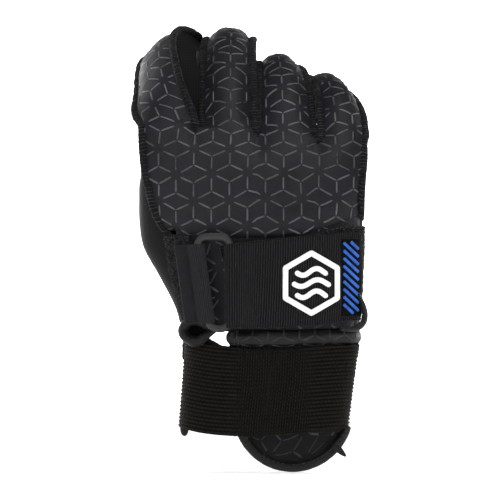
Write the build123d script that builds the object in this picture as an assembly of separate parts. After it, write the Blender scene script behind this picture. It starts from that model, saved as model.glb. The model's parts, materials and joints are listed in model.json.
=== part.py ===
"""A right-hand sports glove with external seams, pre-curved fingers and a double wrist closure.

Frame: +Z towards the fingers, +Y towards the palm side, +X towards the little finger, millimetres.
The origin is the centre of the wrist opening, level with the lower edge of the wrist band.
"""

import math
import os

from build123d import *

# ---------------------------------------------------------------- driving dimensions
NEOPRENE = 2.2          # wall of the back panels
LEATHER = 1.5           # wall of the palm panels and finger sides
WEBBING = 1.6           # thickness of both straps
STRAP_WIDTH = 37.5      # webbing width of both straps
SEAM_GAP = 0.3          # clearance between neighbouring panels
SEAM_Y = -1.0           # plane that parts the back panels from the palm panels
ROUNDNESS = 2.35        # exponent of the hand's superelliptic sections

# Hand sections: height, left edge, right edge, front, rear.
HAND_SECTIONS = [
    (-20.0, -36.5, 35.0, -14.0, 14.0),
    (0.0, -37.8, 36.2, -14.8, 14.8),
    (38.0, -39.0, 37.3, -16.2, 16.0),
    (62.0, -45.0, 40.0, -18.2, 17.5),
    (80.0, -54.0, 41.5, -20.0, 20.0),
    (94.0, -58.0, 42.5, -20.5, 17.0),
    (118.0, -59.0, 43.0, -17.5, 8.0),
]
BACK_HEM_Z = 91.0       # lower edge of the padded back panel
CUFF_Z = 39.0           # lower edge of the neoprene cuff
PALM_Z = 46.0           # lower edge of the palm panel
SIDE_Z = 50.0           # lower edge of the thumb panel and the loop-pile wrap
THUMB_SEAM_X = -51.0    # seam between the back panel and the thumb panel
PALM_SEAM_X = -34.0     # seam between the palm panel and the thumb panel
WRAP_X = -29.0          # edge between the loop-pile wrap and the cuff
SLIT_X = -20.0          # right-hand end of the open slit over the wrist band
UNDER_X = (-14.0, 35.0)     # width of the cuff's layer under the wrist band
UNDER_Z = 0.4               # lower edge of that layer
HEEL_X = (-18.0, 30.0)      # width of the palm's heel
HEEL_Z = 2.0                # lower edge of the palm's heel
LOOP_X = -34.6              # edge of the loop on the thumb side of the wrist
LOOP_DEPTH = 12.0           # how far that loop reaches round the wrist, each way
LOOP_Z = 38.6               # lower edge of that loop
PATCH_SKIN = (1.4, 0.15)    # outer and inner offset of the palm patches from the shell
HEM_SKIN = (2.3, 0.2)       # outer and inner offset of the cuff's rolled hem
OVERLAY_X, OVERLAY_Y, OVERLAY_Z = (-26.0, 34.0), 6.0, (78.0, 104.0)
HEEL_PATCH_X, HEEL_PATCH_Y, HEEL_PATCH_Z = (-4.0, 32.0), 8.0, (52.0, 72.0)
HEM_RIGHT, HEM_REAR, HEM_TOP = 38.0, -6.0, 45.0
TAIL_PLACE, TAIL_SIZE, TAIL_TURN = (31.5, -12.5, -9.0), (6.0, 1.2, 2.6), 25.0
STUB_PLACE, STUB_SIZE = (-38.2, -0.2, -3.4), (3.4, 5.0, 6.0)
THUMB_HOLE_R = 8.5          # the thumb's hole through the shell

# Knuckle hinge line, rising towards the index finger.
KNUCKLE_Y, KNUCKLE_Z, KNUCKLE_SLOPE = -5.0, 113.0, 5.0
KNUCKLE_MID_X = -8.0
KNUCKLE_DEPTH = 27.0    # thickness of the glove over the knuckles
KNUCKLE_TILT = 29.0     # lean of the fingers' roots towards the palm
KNUCKLE_GAP = 1.2       # clearance on each side of the knuckle line
KNUCKLE_PALM_START = 15.0
KNUCKLE_EDGES = (13.2, 11.0)   # hand's edges from the outer fingers' middles, at the knuckles

# Fingers: knuckle x, lean, yaw, first tilt, first length, second tilts, second length,
# width at the knuckle, width, depth.
FINGERS = {
    "index": dict(x=-46.5, lean=-2, yaw=6, tilt=30, first=40, bend=(42, 95), tip=56,
                  base=26.5, width=18.5, depth=18.5),
    "middle": dict(x=-18.2, lean=0, yaw=0, tilt=32, first=41, bend=(43, 93), tip=63,
                   base=27.5, width=18.5, depth=18.5),
    "ring": dict(x=6.8, lean=0, yaw=-3, tilt=33, first=38, bend=(46, 97), tip=52,
                 base=27.0, width=18.5, depth=18.0),
    "little": dict(x=32.3, lean=1, yaw=-10, tilt=32, first=34, bend=(46, 98), tip=45,
                   base=22.5, width=15.5, depth=16.5),
}
WEB_START = 20.0        # distance from the knuckle line to the crotch between two fingers
PALM_START = 9.0        # second joint to the first edge of the palm side beyond it
SIDE_START = 5.5        # the same for the finger sides
SIDE_END = 2.5          # end of the first segment's sides to the second joint
BACK_START = 0.9        # the same for the back
ARCH_SAG = 5.5          # height of the arched back and palm of a finger
CAP_LENGTH, CAP_SHARE = 6.0, 0.66

# Thumb: joint centres, width and depth.
THUMB_ROOT = Vector(-43.0, 12.0, 76.0)
THUMB_JOINT = Vector(-45.0, 41.0, 88.0)
THUMB_TIP = Vector(-43.0, 64.0, 95.0)
THUMB_WIDTH, THUMB_DEPTH = 21.0, 19.0
THUMB_ROOT_START = 12.0

# Upper closure: ring, strap and its end tab.
RING_X, RING_Z = (-34.0, -16.5), (45.0, 89.3)
RING_ROD = 3.6
RING_Y = -26.0          # centre of the ring's rod
RING_BAR_X = (RING_X[0] + RING_ROD / 2, RING_X[1] - RING_ROD / 2)
TURN_R = 2.2            # inner radius of the webbing turned round a bar
FLAP_HINGE_X = -14.6    # line where the strap bends as it peels off
STRAP_Z = 49.5          # lower edge of the upper strap
STRAP_END_X = 40.5
TAB_X = (32.6, 39.6)
EMBLEM_X, EMBLEM_R = 18.7, 13.5
BASE_GAP, FLAP_GAP = 0.7, 2.9   # strap layers above the cuff

# Lower closure.
BAND_LEFT, BAND_RIGHT, BAND_HALF = -41.2, 40.6, 19.8
TONGUE_X, TONGUE_Z, TONGUE_R = 10.5, 9.0, 27.0
BINDING = 4.2           # width of the tongue's binding

UP, BACK, RIGHT = Vector(0, 0, 1), Vector(0, 1, 0), Vector(1, 0, 0)
FAR = 200.0


# ---------------------------------------------------------------- general shapes
def block(x=(-FAR, FAR), y=(-FAR, FAR), z=(-FAR, FAR)):
    """A box between those limits."""
    size = [b - a for a, b in (x, y, z)]
    centre = [(a + b) / 2 for a, b in (x, y, z)]
    return Pos(*centre) * Box(*size)


def superellipse(left, right, front, rear, z, inset=0.0, count=28):
    """A closed face: the outline of a soft, flattened tube at height z."""
    cx, cy = (left + right) / 2, (front + rear) / 2
    a, b = (right - left) / 2 - inset, (rear - front) / 2 - inset
    points = []
    for i in range(count):
        t = 2 * math.pi * i / count
        c, s = math.cos(t), math.sin(t)
        x = cx + a * math.copysign(abs(c) ** (2 / ROUNDNESS), c)
        y = cy + b * math.copysign(abs(s) ** (2 / ROUNDNESS), s)
        points.append((x, y, z))
    return make_face(Spline(*points, periodic=True))


def hand_body(inset=0.0):
    """The hand's outer shape, grown or shrunk by inset."""
    sections = [superellipse(*s[1:], s[0], inset) for s in HAND_SECTIONS]
    return loft(sections)


def one(shape):
    """The solid of a shape that has to be a single solid."""
    solids = shape.solids()
    if len(solids) != 1:
        raise ValueError(f"expected one solid and got {len(solids)}")
    return solids[0]


def all_of(*shapes):
    """Several separate solids as one compound."""
    return Compound(children=[s for shape in shapes for s in shape.solids()])


def knuckle_side(offset, above):
    """Half of space on one side of the knuckle line, parallel to it and offset along +Z."""
    size = 2 * FAR
    box = Pos(0, 0, size / 2 if above else -size / 2) * Box(size, size, size)
    return Pos(KNUCKLE_MID_X, 0, KNUCKLE_Z + offset) * Rot(0, KNUCKLE_SLOPE, 0) * box


# ---------------------------------------------------------------- finger geometry
class Digit:
    """A finger's directions: up and curl span the plane in which it bends."""

    def __init__(self, spec):
        lean, yaw = math.radians(spec["lean"]), math.radians(spec["yaw"])
        self.up = Vector(math.sin(lean), 0, math.cos(lean))
        curl = Vector(math.sin(yaw), math.cos(yaw), 0)
        self.curl = (curl - self.up * curl.dot(self.up)).normalized()
        self.axis = self.up.cross(self.curl)
        rise = (KNUCKLE_MID_X - spec["x"]) * math.tan(math.radians(KNUCKLE_SLOPE))
        self.knuckle = Vector(spec["x"], KNUCKLE_Y, KNUCKLE_Z + rise)
        self.joint = self.knuckle + self.along(spec["tilt"]) * spec["first"]
        self.radius = spec["tip"] / math.radians(spec["bend"][1] - spec["bend"][0])
        self.centre = self.joint - self.normal(spec["bend"][0]) * self.radius

    def along(self, tilt):
        t = math.radians(tilt)
        return self.up * math.cos(t) + self.curl * math.sin(t)

    def normal(self, tilt):
        """Points out of the back of the finger."""
        t = math.radians(tilt)
        return self.up * math.sin(t) - self.curl * math.cos(t)

    def plane(self, point, tilt):
        return Plane(origin=point, x_dir=self.axis, z_dir=self.along(tilt))


def arch(width, depth, wall, back=True):
    """Arched wall of a finger's section: its back (y above 0) or its palm side."""
    top, edge = depth / 2, depth / 2 - ARCH_SAG
    side = 1 if back else -1
    outer = ThreePointArc((-width / 2, side * edge), (0, side * top), (width / 2, side * edge))
    inner = ThreePointArc((width / 2 - wall, side * edge), (0, side * (top - wall)),
                          (-width / 2 + wall, side * edge))
    ends = [Line(outer @ 1, inner @ 0), Line(inner @ 1, outer @ 0)]
    return make_face([outer, inner, *ends])


def side_wall(width, depth, wall, side):
    """Flat strip between the two arches, on one side of a finger's section."""
    height = depth - 2 * ARCH_SAG - 2 * SEAM_GAP
    return Pos(side * (width - wall) / 2, 0) * Rectangle(wall, height)


def full_section(width, depth, scale=1.0):
    """The whole outline of a finger's section."""
    w, edge, top = width / 2 * scale, (depth / 2 - ARCH_SAG) * scale, depth / 2 * scale
    arcs = [ThreePointArc((-w, edge), (0, top), (w, edge)),
            ThreePointArc((w, -edge), (0, -top), (-w, -edge))]
    lines = [Line((w, edge), (w, -edge)), Line((-w, -edge), (-w, edge))]
    return make_face([*arcs, *lines])


def first_walls(digit, spec, start, end, make):
    """A wall of the first segment, tapering from the knuckle to the second joint."""
    def section(at):
        share = min(1.0, at / spec["first"])
        shrink = min(1.0, at / WEB_START)
        width = spec["base"] + (spec["width"] - spec["base"]) * shrink
        depth = KNUCKLE_DEPTH + (spec["depth"] - KNUCKLE_DEPTH) * share
        point = digit.knuckle + digit.along(spec["tilt"]) * at
        return digit.plane(point, spec["tilt"]) * make(width, depth)

    stops = [start, WEB_START, end] if start < WEB_START - 1 else [start, end]
    spans = [loft([section(a), section(b)]) for a, b in zip(stops, stops[1:])]
    wall = spans[0]
    for more in spans[1:]:
        wall += more
    return wall


def tip_wall(digit, spec, start, face):
    """A wall of the curved second segment, swung about the centre of its curve."""
    first, last = spec["bend"]
    lead = math.degrees(start / digit.radius)
    point = digit.centre + digit.normal(first + lead) * digit.radius
    profile = digit.plane(point, first + lead) * face
    axis = Axis(digit.centre, digit.axis)
    return revolve(profile, axis=axis, revolution_arc=last - first - lead)


def tip_cap(plane, width, depth, wall):
    """Hollow rounded end over the fingertip."""
    end, inner_end = CAP_SHARE, CAP_SHARE - 0.12
    outer = loft([plane * full_section(width, depth),
                  plane.offset(CAP_LENGTH) * full_section(width, depth, end)])
    inner_width, inner_depth = width - 2 * wall, depth - 2 * wall
    inner = loft([plane.offset(-0.5) * full_section(inner_width, inner_depth),
                  plane.offset(CAP_LENGTH - wall) * full_section(inner_width, inner_depth, inner_end)])
    return outer - inner


# ---------------------------------------------------------------- parts of the hand
def hand_panels():
    """The shell of the hand and cuff, cut along its seams into panels."""
    back_shell = hand_body() - hand_body(NEOPRENE)
    palm_shell = hand_body() - hand_body(LEATHER)
    under_knuckles = knuckle_side(-KNUCKLE_GAP, above=False)
    front, rear = (-FAR, SEAM_Y), (SEAM_Y + SEAM_GAP, FAR)

    back_panel = back_shell & block((THUMB_SEAM_X, FAR), front, (BACK_HEM_Z, FAR))
    cuff = block((WRAP_X + SEAM_GAP, FAR), front, (PALM_Z, BACK_HEM_Z - SEAM_GAP))
    cuff += block((SLIT_X, FAR), front, (CUFF_Z, PALM_Z + 1))
    thumb_side = block((-FAR, THUMB_SEAM_X - SEAM_GAP), (-FAR, FAR), (SIDE_Z, FAR))
    thumb_side += block((-FAR, PALM_SEAM_X - SEAM_GAP), rear, (SIDE_Z, FAR))
    thumb_hole = thumb_socket()
    palm = block((PALM_SEAM_X, FAR), rear, (PALM_Z, FAR))
    wrap = block((THUMB_SEAM_X, WRAP_X), front, (SIDE_Z, BACK_HEM_Z - SEAM_GAP))
    loop_block = block((-FAR, LOOP_X), (-LOOP_DEPTH, LOOP_DEPTH), (LOOP_Z, SIDE_Z - SEAM_GAP))
    return {
        "back_panel": one(back_panel & under_knuckles),
        "cuff_back": one(back_shell & cuff),
        "thumb_panel": one((palm_shell & thumb_side & under_knuckles) - thumb_hole),
        "palm_panel": one((palm_shell & palm & under_knuckles) - thumb_hole),
        "pile_wrap": one(palm_shell & wrap),
        "cuff_under": one(back_shell & block(UNDER_X, front, (UNDER_Z, CUFF_Z - SEAM_GAP))),
        "palm_heel": one(palm_shell & block(HEEL_X, rear, (HEEL_Z, PALM_Z - SEAM_GAP))),
        "wrist_loop": one(palm_shell & loop_block),
    }


def outer_trim():
    """Layers sewn on top of the shell: the palm overlay and the cuff's rolled hem."""
    skin = hand_body(-PATCH_SKIN[0]) - hand_body(-PATCH_SKIN[1])
    roll = hand_body(-HEM_SKIN[0]) - hand_body(-HEM_SKIN[1])
    overlay = block(OVERLAY_X, (OVERLAY_Y, FAR), OVERLAY_Z)
    heel_patch = block(HEEL_PATCH_X, (HEEL_PATCH_Y, FAR), HEEL_PATCH_Z)
    hem = block((SLIT_X, HEM_RIGHT), (-FAR, HEM_REAR), (CUFF_Z, HEM_TOP))
    return {
        "palm_overlay": one(skin & overlay),
        "palm_heel_patch": one(skin & heel_patch),
        "cuff_hem": one(roll & hem),
    }


def tongue():
    """The rounded neoprene tongue below the band, and the binding round its edge."""
    shell = hand_body() - hand_body(NEOPRENE)
    below = block(y=(-FAR, 0), z=(-FAR, -0.4))

    def rounded(radius):
        disc = Plane.XZ * (Pos(TONGUE_X, TONGUE_Z) * Circle(radius))
        return extrude(disc, amount=60)

    tail = Pos(*TAIL_PLACE) * Rot(0, TAIL_TURN, 0) * Box(*TAIL_SIZE)
    return {
        "cuff_tongue": one(shell & below & rounded(TONGUE_R - BINDING - 0.1)),
        "tongue_binding": one(shell & below & (rounded(TONGUE_R) - rounded(TONGUE_R - BINDING))),
        "binding_tail": tail,
    }


# ---------------------------------------------------------------- fingers
def knuckle_plane(at):
    """Section plane across all four fingers, that far beyond the knuckle line."""
    slope, tilt = math.radians(KNUCKLE_SLOPE), math.radians(KNUCKLE_TILT)
    up = Vector(math.sin(slope), 0, math.cos(slope))
    along = up * math.cos(tilt) + BACK * math.sin(tilt)
    across = Vector(-math.cos(slope), 0, math.sin(slope))
    origin = Vector(KNUCKLE_MID_X, KNUCKLE_Y, KNUCKLE_Z) + along * at
    return Plane(origin=origin, x_dir=across, z_dir=along)


def knuckle_outline(digits, at, side):
    """Height of the skin over the knuckles: flat at the hand, in four arches at the webs."""
    plane = knuckle_plane(at)
    arches = []
    for name, spec in FINGERS.items():
        digit = digits[name]
        middle = plane.to_local_coords(digit.knuckle + digit.along(spec["tilt"]) * at)
        depth = KNUCKLE_DEPTH + (spec["depth"] - KNUCKLE_DEPTH) * at / spec["first"]
        arches.append((middle.X, middle.Y, spec["width"] / 2, depth / 2))
    blend = at / WEB_START
    left = arches[0][0] + arches[0][2] * blend + (1 - blend) * KNUCKLE_EDGES[0]
    right = arches[-1][0] - arches[-1][2] * blend - (1 - blend) * KNUCKLE_EDGES[1]
    points = []
    count = 44
    for i in range(count + 1):
        x = left + (right - left) * i / count
        t = (x - (left + right) / 2) / (left - right) * 2
        flat = KNUCKLE_DEPTH / 2 * max(0.0, 1 - abs(t) ** ROUNDNESS) ** (1 / ROUNDNESS)
        near = min(arches, key=lambda a: abs(x - a[0]))
        off = min(1.25, abs(x - near[0]) / near[2])
        scallop = side * near[1] + near[3] - ARCH_SAG * off ** 2
        edge = KNUCKLE_DEPTH / 2 - ARCH_SAG - 3.0
        points.append((x, side * ((1 - blend) * max(flat, edge) + blend * scallop)))
    return points


def knuckle_wall(digits, start, wall, side):
    """The skin over (side 1) or under (side -1) the roots of the four fingers."""
    faces = []
    for at in (start, (start + WEB_START) / 2, WEB_START):
        outer = knuckle_outline(digits, at, side)
        inner = [(x, y - side * wall) for x, y in reversed(outer)]
        lines = [Line(outer[-1], inner[0]), Line(inner[-1], outer[0])]
        faces.append(knuckle_plane(at) * make_face([Spline(*outer), Spline(*inner), *lines]))
    return loft(faces)


def knuckle_parts(digits):
    """The back, palm and side walls of the first segments, which fold as one."""
    back = knuckle_wall(digits, -6.0, NEOPRENE, 1)
    palm = knuckle_wall(digits, KNUCKLE_PALM_START, LEATHER, -1)
    sides = []
    for name, spec in FINGERS.items():
        digit = digits[name]
        end = spec["first"]
        start = WEB_START - 1.5
        back += first_walls(digit, spec, start, end - BACK_START,
                            lambda w, d: arch(w, d, NEOPRENE))
        palm += first_walls(digit, spec, start, end - 0.6,
                            lambda w, d: arch(w, d, LEATHER, back=False))
        for side in (-1, 1):
            sides.append(first_walls(digit, spec, WEB_START + 2.5, end - SIDE_END,
                                     lambda w, d, s=side: side_wall(w, d, LEATHER, s)))
    return {
        "knuckle_back": one(back & knuckle_side(KNUCKLE_GAP, above=True)),
        "knuckle_palm": one(palm),
        "knuckle_fourchettes": all_of(*sides),
    }


def tip_parts(name, digit, spec):
    """The curved outer part of one finger: back with its cap, palm side, and two sides."""
    w, d = spec["width"], spec["depth"]
    back = tip_wall(digit, spec, BACK_START, arch(w, d, NEOPRENE))
    end = digit.centre + digit.normal(spec["bend"][1]) * digit.radius
    back += tip_cap(digit.plane(end, spec["bend"][1]), w, d, NEOPRENE)
    palm = tip_wall(digit, spec, PALM_START, arch(w, d, LEATHER, back=False))
    sides = [tip_wall(digit, spec, SIDE_START, side_wall(w, d, LEATHER, s)) for s in (-1, 1)]
    return {
        f"{name}_tip_back": one(back),
        f"{name}_tip_palm": one(palm),
        f"{name}_tip_fourchettes": all_of(*sides),
    }


def thumb_segment(start, end, from_start, to_end, outward, cap):
    """Back, palm and sides of a straight stretch of the thumb."""
    along = (end - start).normalized()
    normal = (outward - along * outward.dot(along)).normalized()
    across = normal.cross(along)
    length = (end - start).length

    def plane(at):
        return Plane(origin=start + along * at, x_dir=across, z_dir=along)

    def wall(at, face):
        return extrude(plane(at) * face, amount=length - to_end - at)

    w, d = THUMB_WIDTH, THUMB_DEPTH
    back = wall(from_start[0], arch(w, d, NEOPRENE))
    if cap:
        back += tip_cap(plane(length - to_end), w, d, NEOPRENE)
    palm = wall(from_start[1], arch(w, d, LEATHER, back=False))
    sides = [wall(from_start[2], side_wall(w, d, LEATHER, s)) for s in (-1, 1)]
    return one(back), one(palm), all_of(*sides)


def thumb_parts():
    outward = Vector(-1, -0.35, 0.25)
    start = (THUMB_ROOT_START, THUMB_ROOT_START, THUMB_ROOT_START + 1)
    base = thumb_segment(THUMB_ROOT, THUMB_JOINT, start, 0.8, outward, cap=False)
    tip = thumb_segment(THUMB_JOINT, THUMB_TIP, (1.6, PALM_START, SIDE_START), 0.0, outward, cap=True)
    names = ("back", "palm", "sides")
    parts = {f"thumb_{n}": p for n, p in zip(names, base)}
    parts.update({f"thumb_tip_{n}": p for n, p in zip(names, tip)})
    return parts


def thumb_socket():
    """The hole in the hand's shell through which the thumb goes."""
    along = (THUMB_JOINT - THUMB_ROOT).normalized()
    plane = Plane(origin=THUMB_ROOT - along * 16, x_dir=Vector(0, -along.Z, along.Y), z_dir=along)
    return extrude(plane * Circle(THUMB_HOLE_R), amount=40)


# ---------------------------------------------------------------- straps
def band(left, right, half, wall, bottom, height):
    """A closed loop of webbing: a soft flattened tube of straight wall."""
    outer = superellipse(left, right, -half, half, bottom)
    inner = superellipse(left, right, -half, half, bottom, inset=wall)
    return extrude(outer - inner, amount=height, dir=(0, 0, 1))


def strap_layer(gap, wall, x, z):
    """A curved layer over the front of the cuff, gap above it, between those limits."""
    left, right, half = -45.5 - gap, 42.5 + gap, 20.8 + gap + wall
    loop = band(left - wall, right + wall, half, wall, z[0], z[1] - z[0])
    return loop & block(x, (-FAR, -3), (-FAR, FAR))


def bar_turn(bar_x, side, z):
    """Webbing turned round one bar of the ring; side is the way that it opens."""
    ring = Circle(TURN_R + WEBBING) - Circle(TURN_R)
    ring = ring & (Pos(-side * 10, 0) * Rectangle(20, 40))
    return Pos(bar_x, RING_Y, z[0]) * extrude(ring, amount=z[1] - z[0])


def upper_closure():
    """The ring, the tab that holds it, and the strap that doubles back through it."""
    width, height = RING_X[1] - RING_X[0], RING_Z[1] - RING_Z[0]
    frame = RectangleRounded(width, height, 4.5) - RectangleRounded(
        width - 2 * RING_ROD, height - 2 * RING_ROD, 1.5)
    frame = extrude(Plane.XZ * frame, amount=RING_ROD / 2, both=True)
    frame = fillet(frame.edges(), 1.5)
    centre = ((RING_X[0] + RING_X[1]) / 2, RING_Y, (RING_Z[0] + RING_Z[1]) / 2)
    inside = (RING_Z[0] + RING_ROD + 0.6, RING_Z[1] - RING_ROD - 0.6)
    tab_z = (inside[0] + 0.5, inside[1] - 0.5)
    tab = bar_turn(RING_BAR_X[0], -1, tab_z)
    root = RING_Y + TURN_R
    tab += block((RING_BAR_X[0] - 7, RING_BAR_X[0] + 0.01), (root, root + WEBBING), tab_z)
    strap_z = (STRAP_Z, STRAP_Z + STRAP_WIDTH - 2.5)
    turn = bar_turn(RING_BAR_X[1], 1, inside)
    top = RING_Y - TURN_R
    turn += block((RING_BAR_X[1] - 0.01, FLAP_HINGE_X - 2.2), (top - WEBBING, top), inside)
    base = strap_layer(BASE_GAP, WEBBING - 0.2, (RING_BAR_X[1] + 1.5, 37), strap_z)
    lead_x = FLAP_HINGE_X + 0.8
    low = -20.8 - FLAP_GAP
    lead = Polyline((lead_x, top - WEBBING + 0.8), (lead_x, top + 0.8), (-6, low),
                    (-6, low - WEBBING), close=True)
    flap = strap_layer(FLAP_GAP, WEBBING, (-6.3, STRAP_END_X), strap_z)
    flap += Pos(0, 0, strap_z[0]) * extrude(make_face(lead), amount=strap_z[1] - strap_z[0], dir=UP)
    patch_z = (STRAP_Z + 4, STRAP_Z + STRAP_WIDTH - 6.5)
    middle = sum(strap_z) / 2
    disc = extrude(Plane.XZ * (Pos(EMBLEM_X, middle) * Circle(EMBLEM_R)), amount=60)
    badge = strap_layer(FLAP_GAP + WEBBING + 0.05, 0.6, (0, 36), strap_z)
    return {
        "strap_ring": one(Pos(*centre) * frame),
        "ring_tab": one(tab),
        "strap_turn": one(turn),
        "strap_base": one(base),
        "strap_flap": one(flap),
        "strap_emblem": one(badge & disc),
        "strap_end_tab": one(strap_layer(FLAP_GAP + WEBBING + 0.05, 1.0, TAB_X, strap_z)),
        "strap_hook_patch": one(strap_layer(FLAP_GAP - 0.65, 0.6, (14, 37.5), patch_z)),
        "strap_anchor": one(hand_body(-BASE_GAP + 0.1) & strap_anchor_box() - hand_body(-0.05)),
    }


def strap_anchor_box():
    """Where the fixed end of the upper strap is sewn down, past the edge of the cuff."""
    return block((38.2, FAR), (-12, SEAM_Y - 1), (STRAP_Z, STRAP_Z + STRAP_WIDTH - 4))


def lower_closure():
    """The wide band round the wrist: a fixed rear half and a front half that peels off."""
    height = STRAP_WIDTH
    loop = band(BAND_LEFT, BAND_RIGHT, BAND_HALF, WEBBING, 0.0, height)
    patch = band(BAND_LEFT + WEBBING + 0.05, BAND_RIGHT - WEBBING - 0.05,
                 BAND_HALF - WEBBING - 0.05, 0.5, 5.0, height - 10)
    return {
        "band_rear": one(loop & block(y=(0.6, FAR))),
        "band_flap": one(loop & block(y=(-FAR, -0.6))),
        "band_hook_patch": one(patch & block((12, 34), (-FAR, -3))),
        "pull_tab": Pos(*STUB_PLACE) * Box(*STUB_SIZE),
    }


def main():
    os.makedirs("parts", exist_ok=True)
    digits = {name: Digit(spec) for name, spec in FINGERS.items()}
    parts = {**hand_panels(), **outer_trim(), **tongue(), **knuckle_parts(digits)}
    for name, spec in FINGERS.items():
        parts.update(tip_parts(name, digits[name], spec))
    parts.update({**thumb_parts(), **upper_closure(), **lower_closure()})
    for name, shape in parts.items():
        export_step(shape, f"parts/{name}.step")
    for name, digit in digits.items():
        print(name, "joint", digit.joint, "axis", digit.axis)


main()
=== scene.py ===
import json
import math
import random

import bpy
import numpy as np
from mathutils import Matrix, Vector


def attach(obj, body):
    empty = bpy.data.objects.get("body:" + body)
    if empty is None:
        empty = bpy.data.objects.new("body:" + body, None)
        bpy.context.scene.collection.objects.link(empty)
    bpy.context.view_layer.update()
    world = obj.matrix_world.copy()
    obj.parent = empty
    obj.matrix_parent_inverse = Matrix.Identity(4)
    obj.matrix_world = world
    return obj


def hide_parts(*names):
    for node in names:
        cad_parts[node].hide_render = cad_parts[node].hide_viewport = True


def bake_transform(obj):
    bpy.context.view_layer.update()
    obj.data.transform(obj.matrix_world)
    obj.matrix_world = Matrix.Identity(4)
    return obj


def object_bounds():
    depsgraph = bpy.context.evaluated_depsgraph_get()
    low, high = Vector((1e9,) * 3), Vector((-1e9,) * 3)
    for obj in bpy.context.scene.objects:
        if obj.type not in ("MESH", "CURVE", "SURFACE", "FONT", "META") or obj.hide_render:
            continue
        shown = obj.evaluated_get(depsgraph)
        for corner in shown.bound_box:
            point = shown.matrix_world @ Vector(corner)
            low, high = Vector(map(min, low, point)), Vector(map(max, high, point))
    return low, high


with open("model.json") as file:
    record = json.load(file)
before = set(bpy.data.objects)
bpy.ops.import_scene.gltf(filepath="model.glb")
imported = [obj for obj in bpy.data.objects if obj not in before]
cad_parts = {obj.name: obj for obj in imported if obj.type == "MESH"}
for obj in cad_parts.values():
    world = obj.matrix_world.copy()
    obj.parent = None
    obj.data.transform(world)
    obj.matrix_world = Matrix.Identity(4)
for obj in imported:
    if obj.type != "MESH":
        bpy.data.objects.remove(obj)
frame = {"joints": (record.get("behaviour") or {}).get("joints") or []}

CAD_LOW, CAD_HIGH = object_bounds()
MM = 0.001
JOINTS = {joint["name"]: joint for joint in frame["joints"]}
rng = np.random.default_rng(7)
random.seed(7)

# ---------------------------------------------------------------- driving sizes, in millimetres
SHARP = 2.35                    # exponent of the hand's superelliptic sections
# Hand sections: height, left edge, right edge, front, rear.
HAND = np.array([
    (0.0, -37.8, 36.2, -14.8, 14.8),
    (38.0, -39.0, 38.3, -16.2, 16.0),
    (55.0, -42.0, 40.0, -17.8, 17.2),
    (70.0, -49.5, 41.0, -19.2, 18.6),
    (84.0, -57.0, 41.5, -20.6, 19.2),
    (94.0, -58.6, 41.8, -21.6, 17.5),
    (106.0, -58.8, 42.2, -20.8, 13.5),
    (118.0, -58.6, 42.6, -18.2, 8.5),
    (130.0, -58.2, 42.8, -14.0, 5.0),
])
# Seam between the back panel and the thumb panel: height, x.
LEFT_SEAM = np.array([(86.0, -40.0), (88.6, -42.5), (91.0, -46.0), (95.0, -49.0), (106.0, -52.8),
                      (116.0, -55.4)])
# Lower hem of the back panel: x, height.
HEM = np.array([(-50, 90.5), (-42, 87.6), (-30, 86.8), (-18, 86.2), (-4, 86.2), (18, 88.4), (31, 92.4),
                (40, 96.6)])
RIGHT_EDGE = 40.4               # the back panel's right-hand seam
BORDERS = (-32.6, -5.6, 20.4)   # lines on which neighbouring fingers part
# Seam between the thumb panel and the palm: height, x.
PALM_SEAM = np.array([(46, -30.5), (60, -34.0), (80, -41.0), (94, -49.0), (106, -53.0)])

WEB = 20.0                      # knuckle line to the crotch between two fingers
FINGERS = {
    "index": dict(lean=-2, tilt=30, first=40, bend=(43, 97), tip=56, half=12.5, taper=0.6, depth=22.0,
                  thin=2.2, sag=3.0,
                  roll=((20, 0), (42, 40), (66, 48), (86, 34), (106, 8)),
                  drift=((0, 0), (20, 0.4), (45, 0.0), (65, -2.2), (85, -2.7), (104, -0.4))),
    "middle": dict(lean=0, tilt=32, first=41, bend=(39.5, 89), tip=63, half=10.7, taper=1.2, depth=19.0,
                   thin=0.6, sag=5.5,
                   roll=((20, 0), (90, 0)), drift=((0, 0), (20, -0.6), (45, -0.9), (80, -0.6), (112, 0.4))),
    "ring": dict(lean=0, tilt=33, first=38, bend=(43, 92), tip=52, half=11.2, taper=3.4, depth=19.0,
                 thin=0.6, sag=5.5,
                 roll=((20, 0), (80, -6)), drift=((0, 0), (20, 0.9), (45, 1.2), (70, 1.0), (100, 0.0))),
    "little": dict(lean=1, tilt=32, first=34, bend=(43, 93), tip=45, half=9.6, taper=2.4, depth=17.0,
                   thin=0.6, sag=5.0,
                   roll=((20, -3), (60, -20)), drift=((0, 0), (20, 1.6), (40, 2.3), (60, 1.6), (90, 0.2))),
}
CAP = 8.5                       # length of the rounded fingertip
PIECE_SPLIT = 25.0              # where the hand's pieces end and a finger's begin
STEP = 1.0                      # spacing of the rows along a finger
COLUMNS = 22                    # columns across one finger's back

EMBOSS_W, EMBOSS_A = 16.2, 8.4  # tumbling blocks: hub spacing across, edge along
EMBOSS_U, EMBOSS_Z = -1.9, 127.5  # a hub's place, measured over the surface
RIB_WIDTH, RIB_HEIGHT = 0.40, 0.34  # half width and height of a raised rib


# ---------------------------------------------------------------- small mathematics
def unit(v):
    v = np.asarray(v, float)
    return v / np.maximum(np.linalg.norm(v, axis=-1, keepdims=True), 1e-12)


def power(v, exponent):
    """The power of a number's size, with the number's sign."""
    return np.sign(v) * np.abs(v) ** exponent


def ease(t):
    """0 below 0, 1 above 1, smooth between."""
    t = np.clip(t, 0, 1)
    return t * t * (3 - 2 * t)


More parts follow.
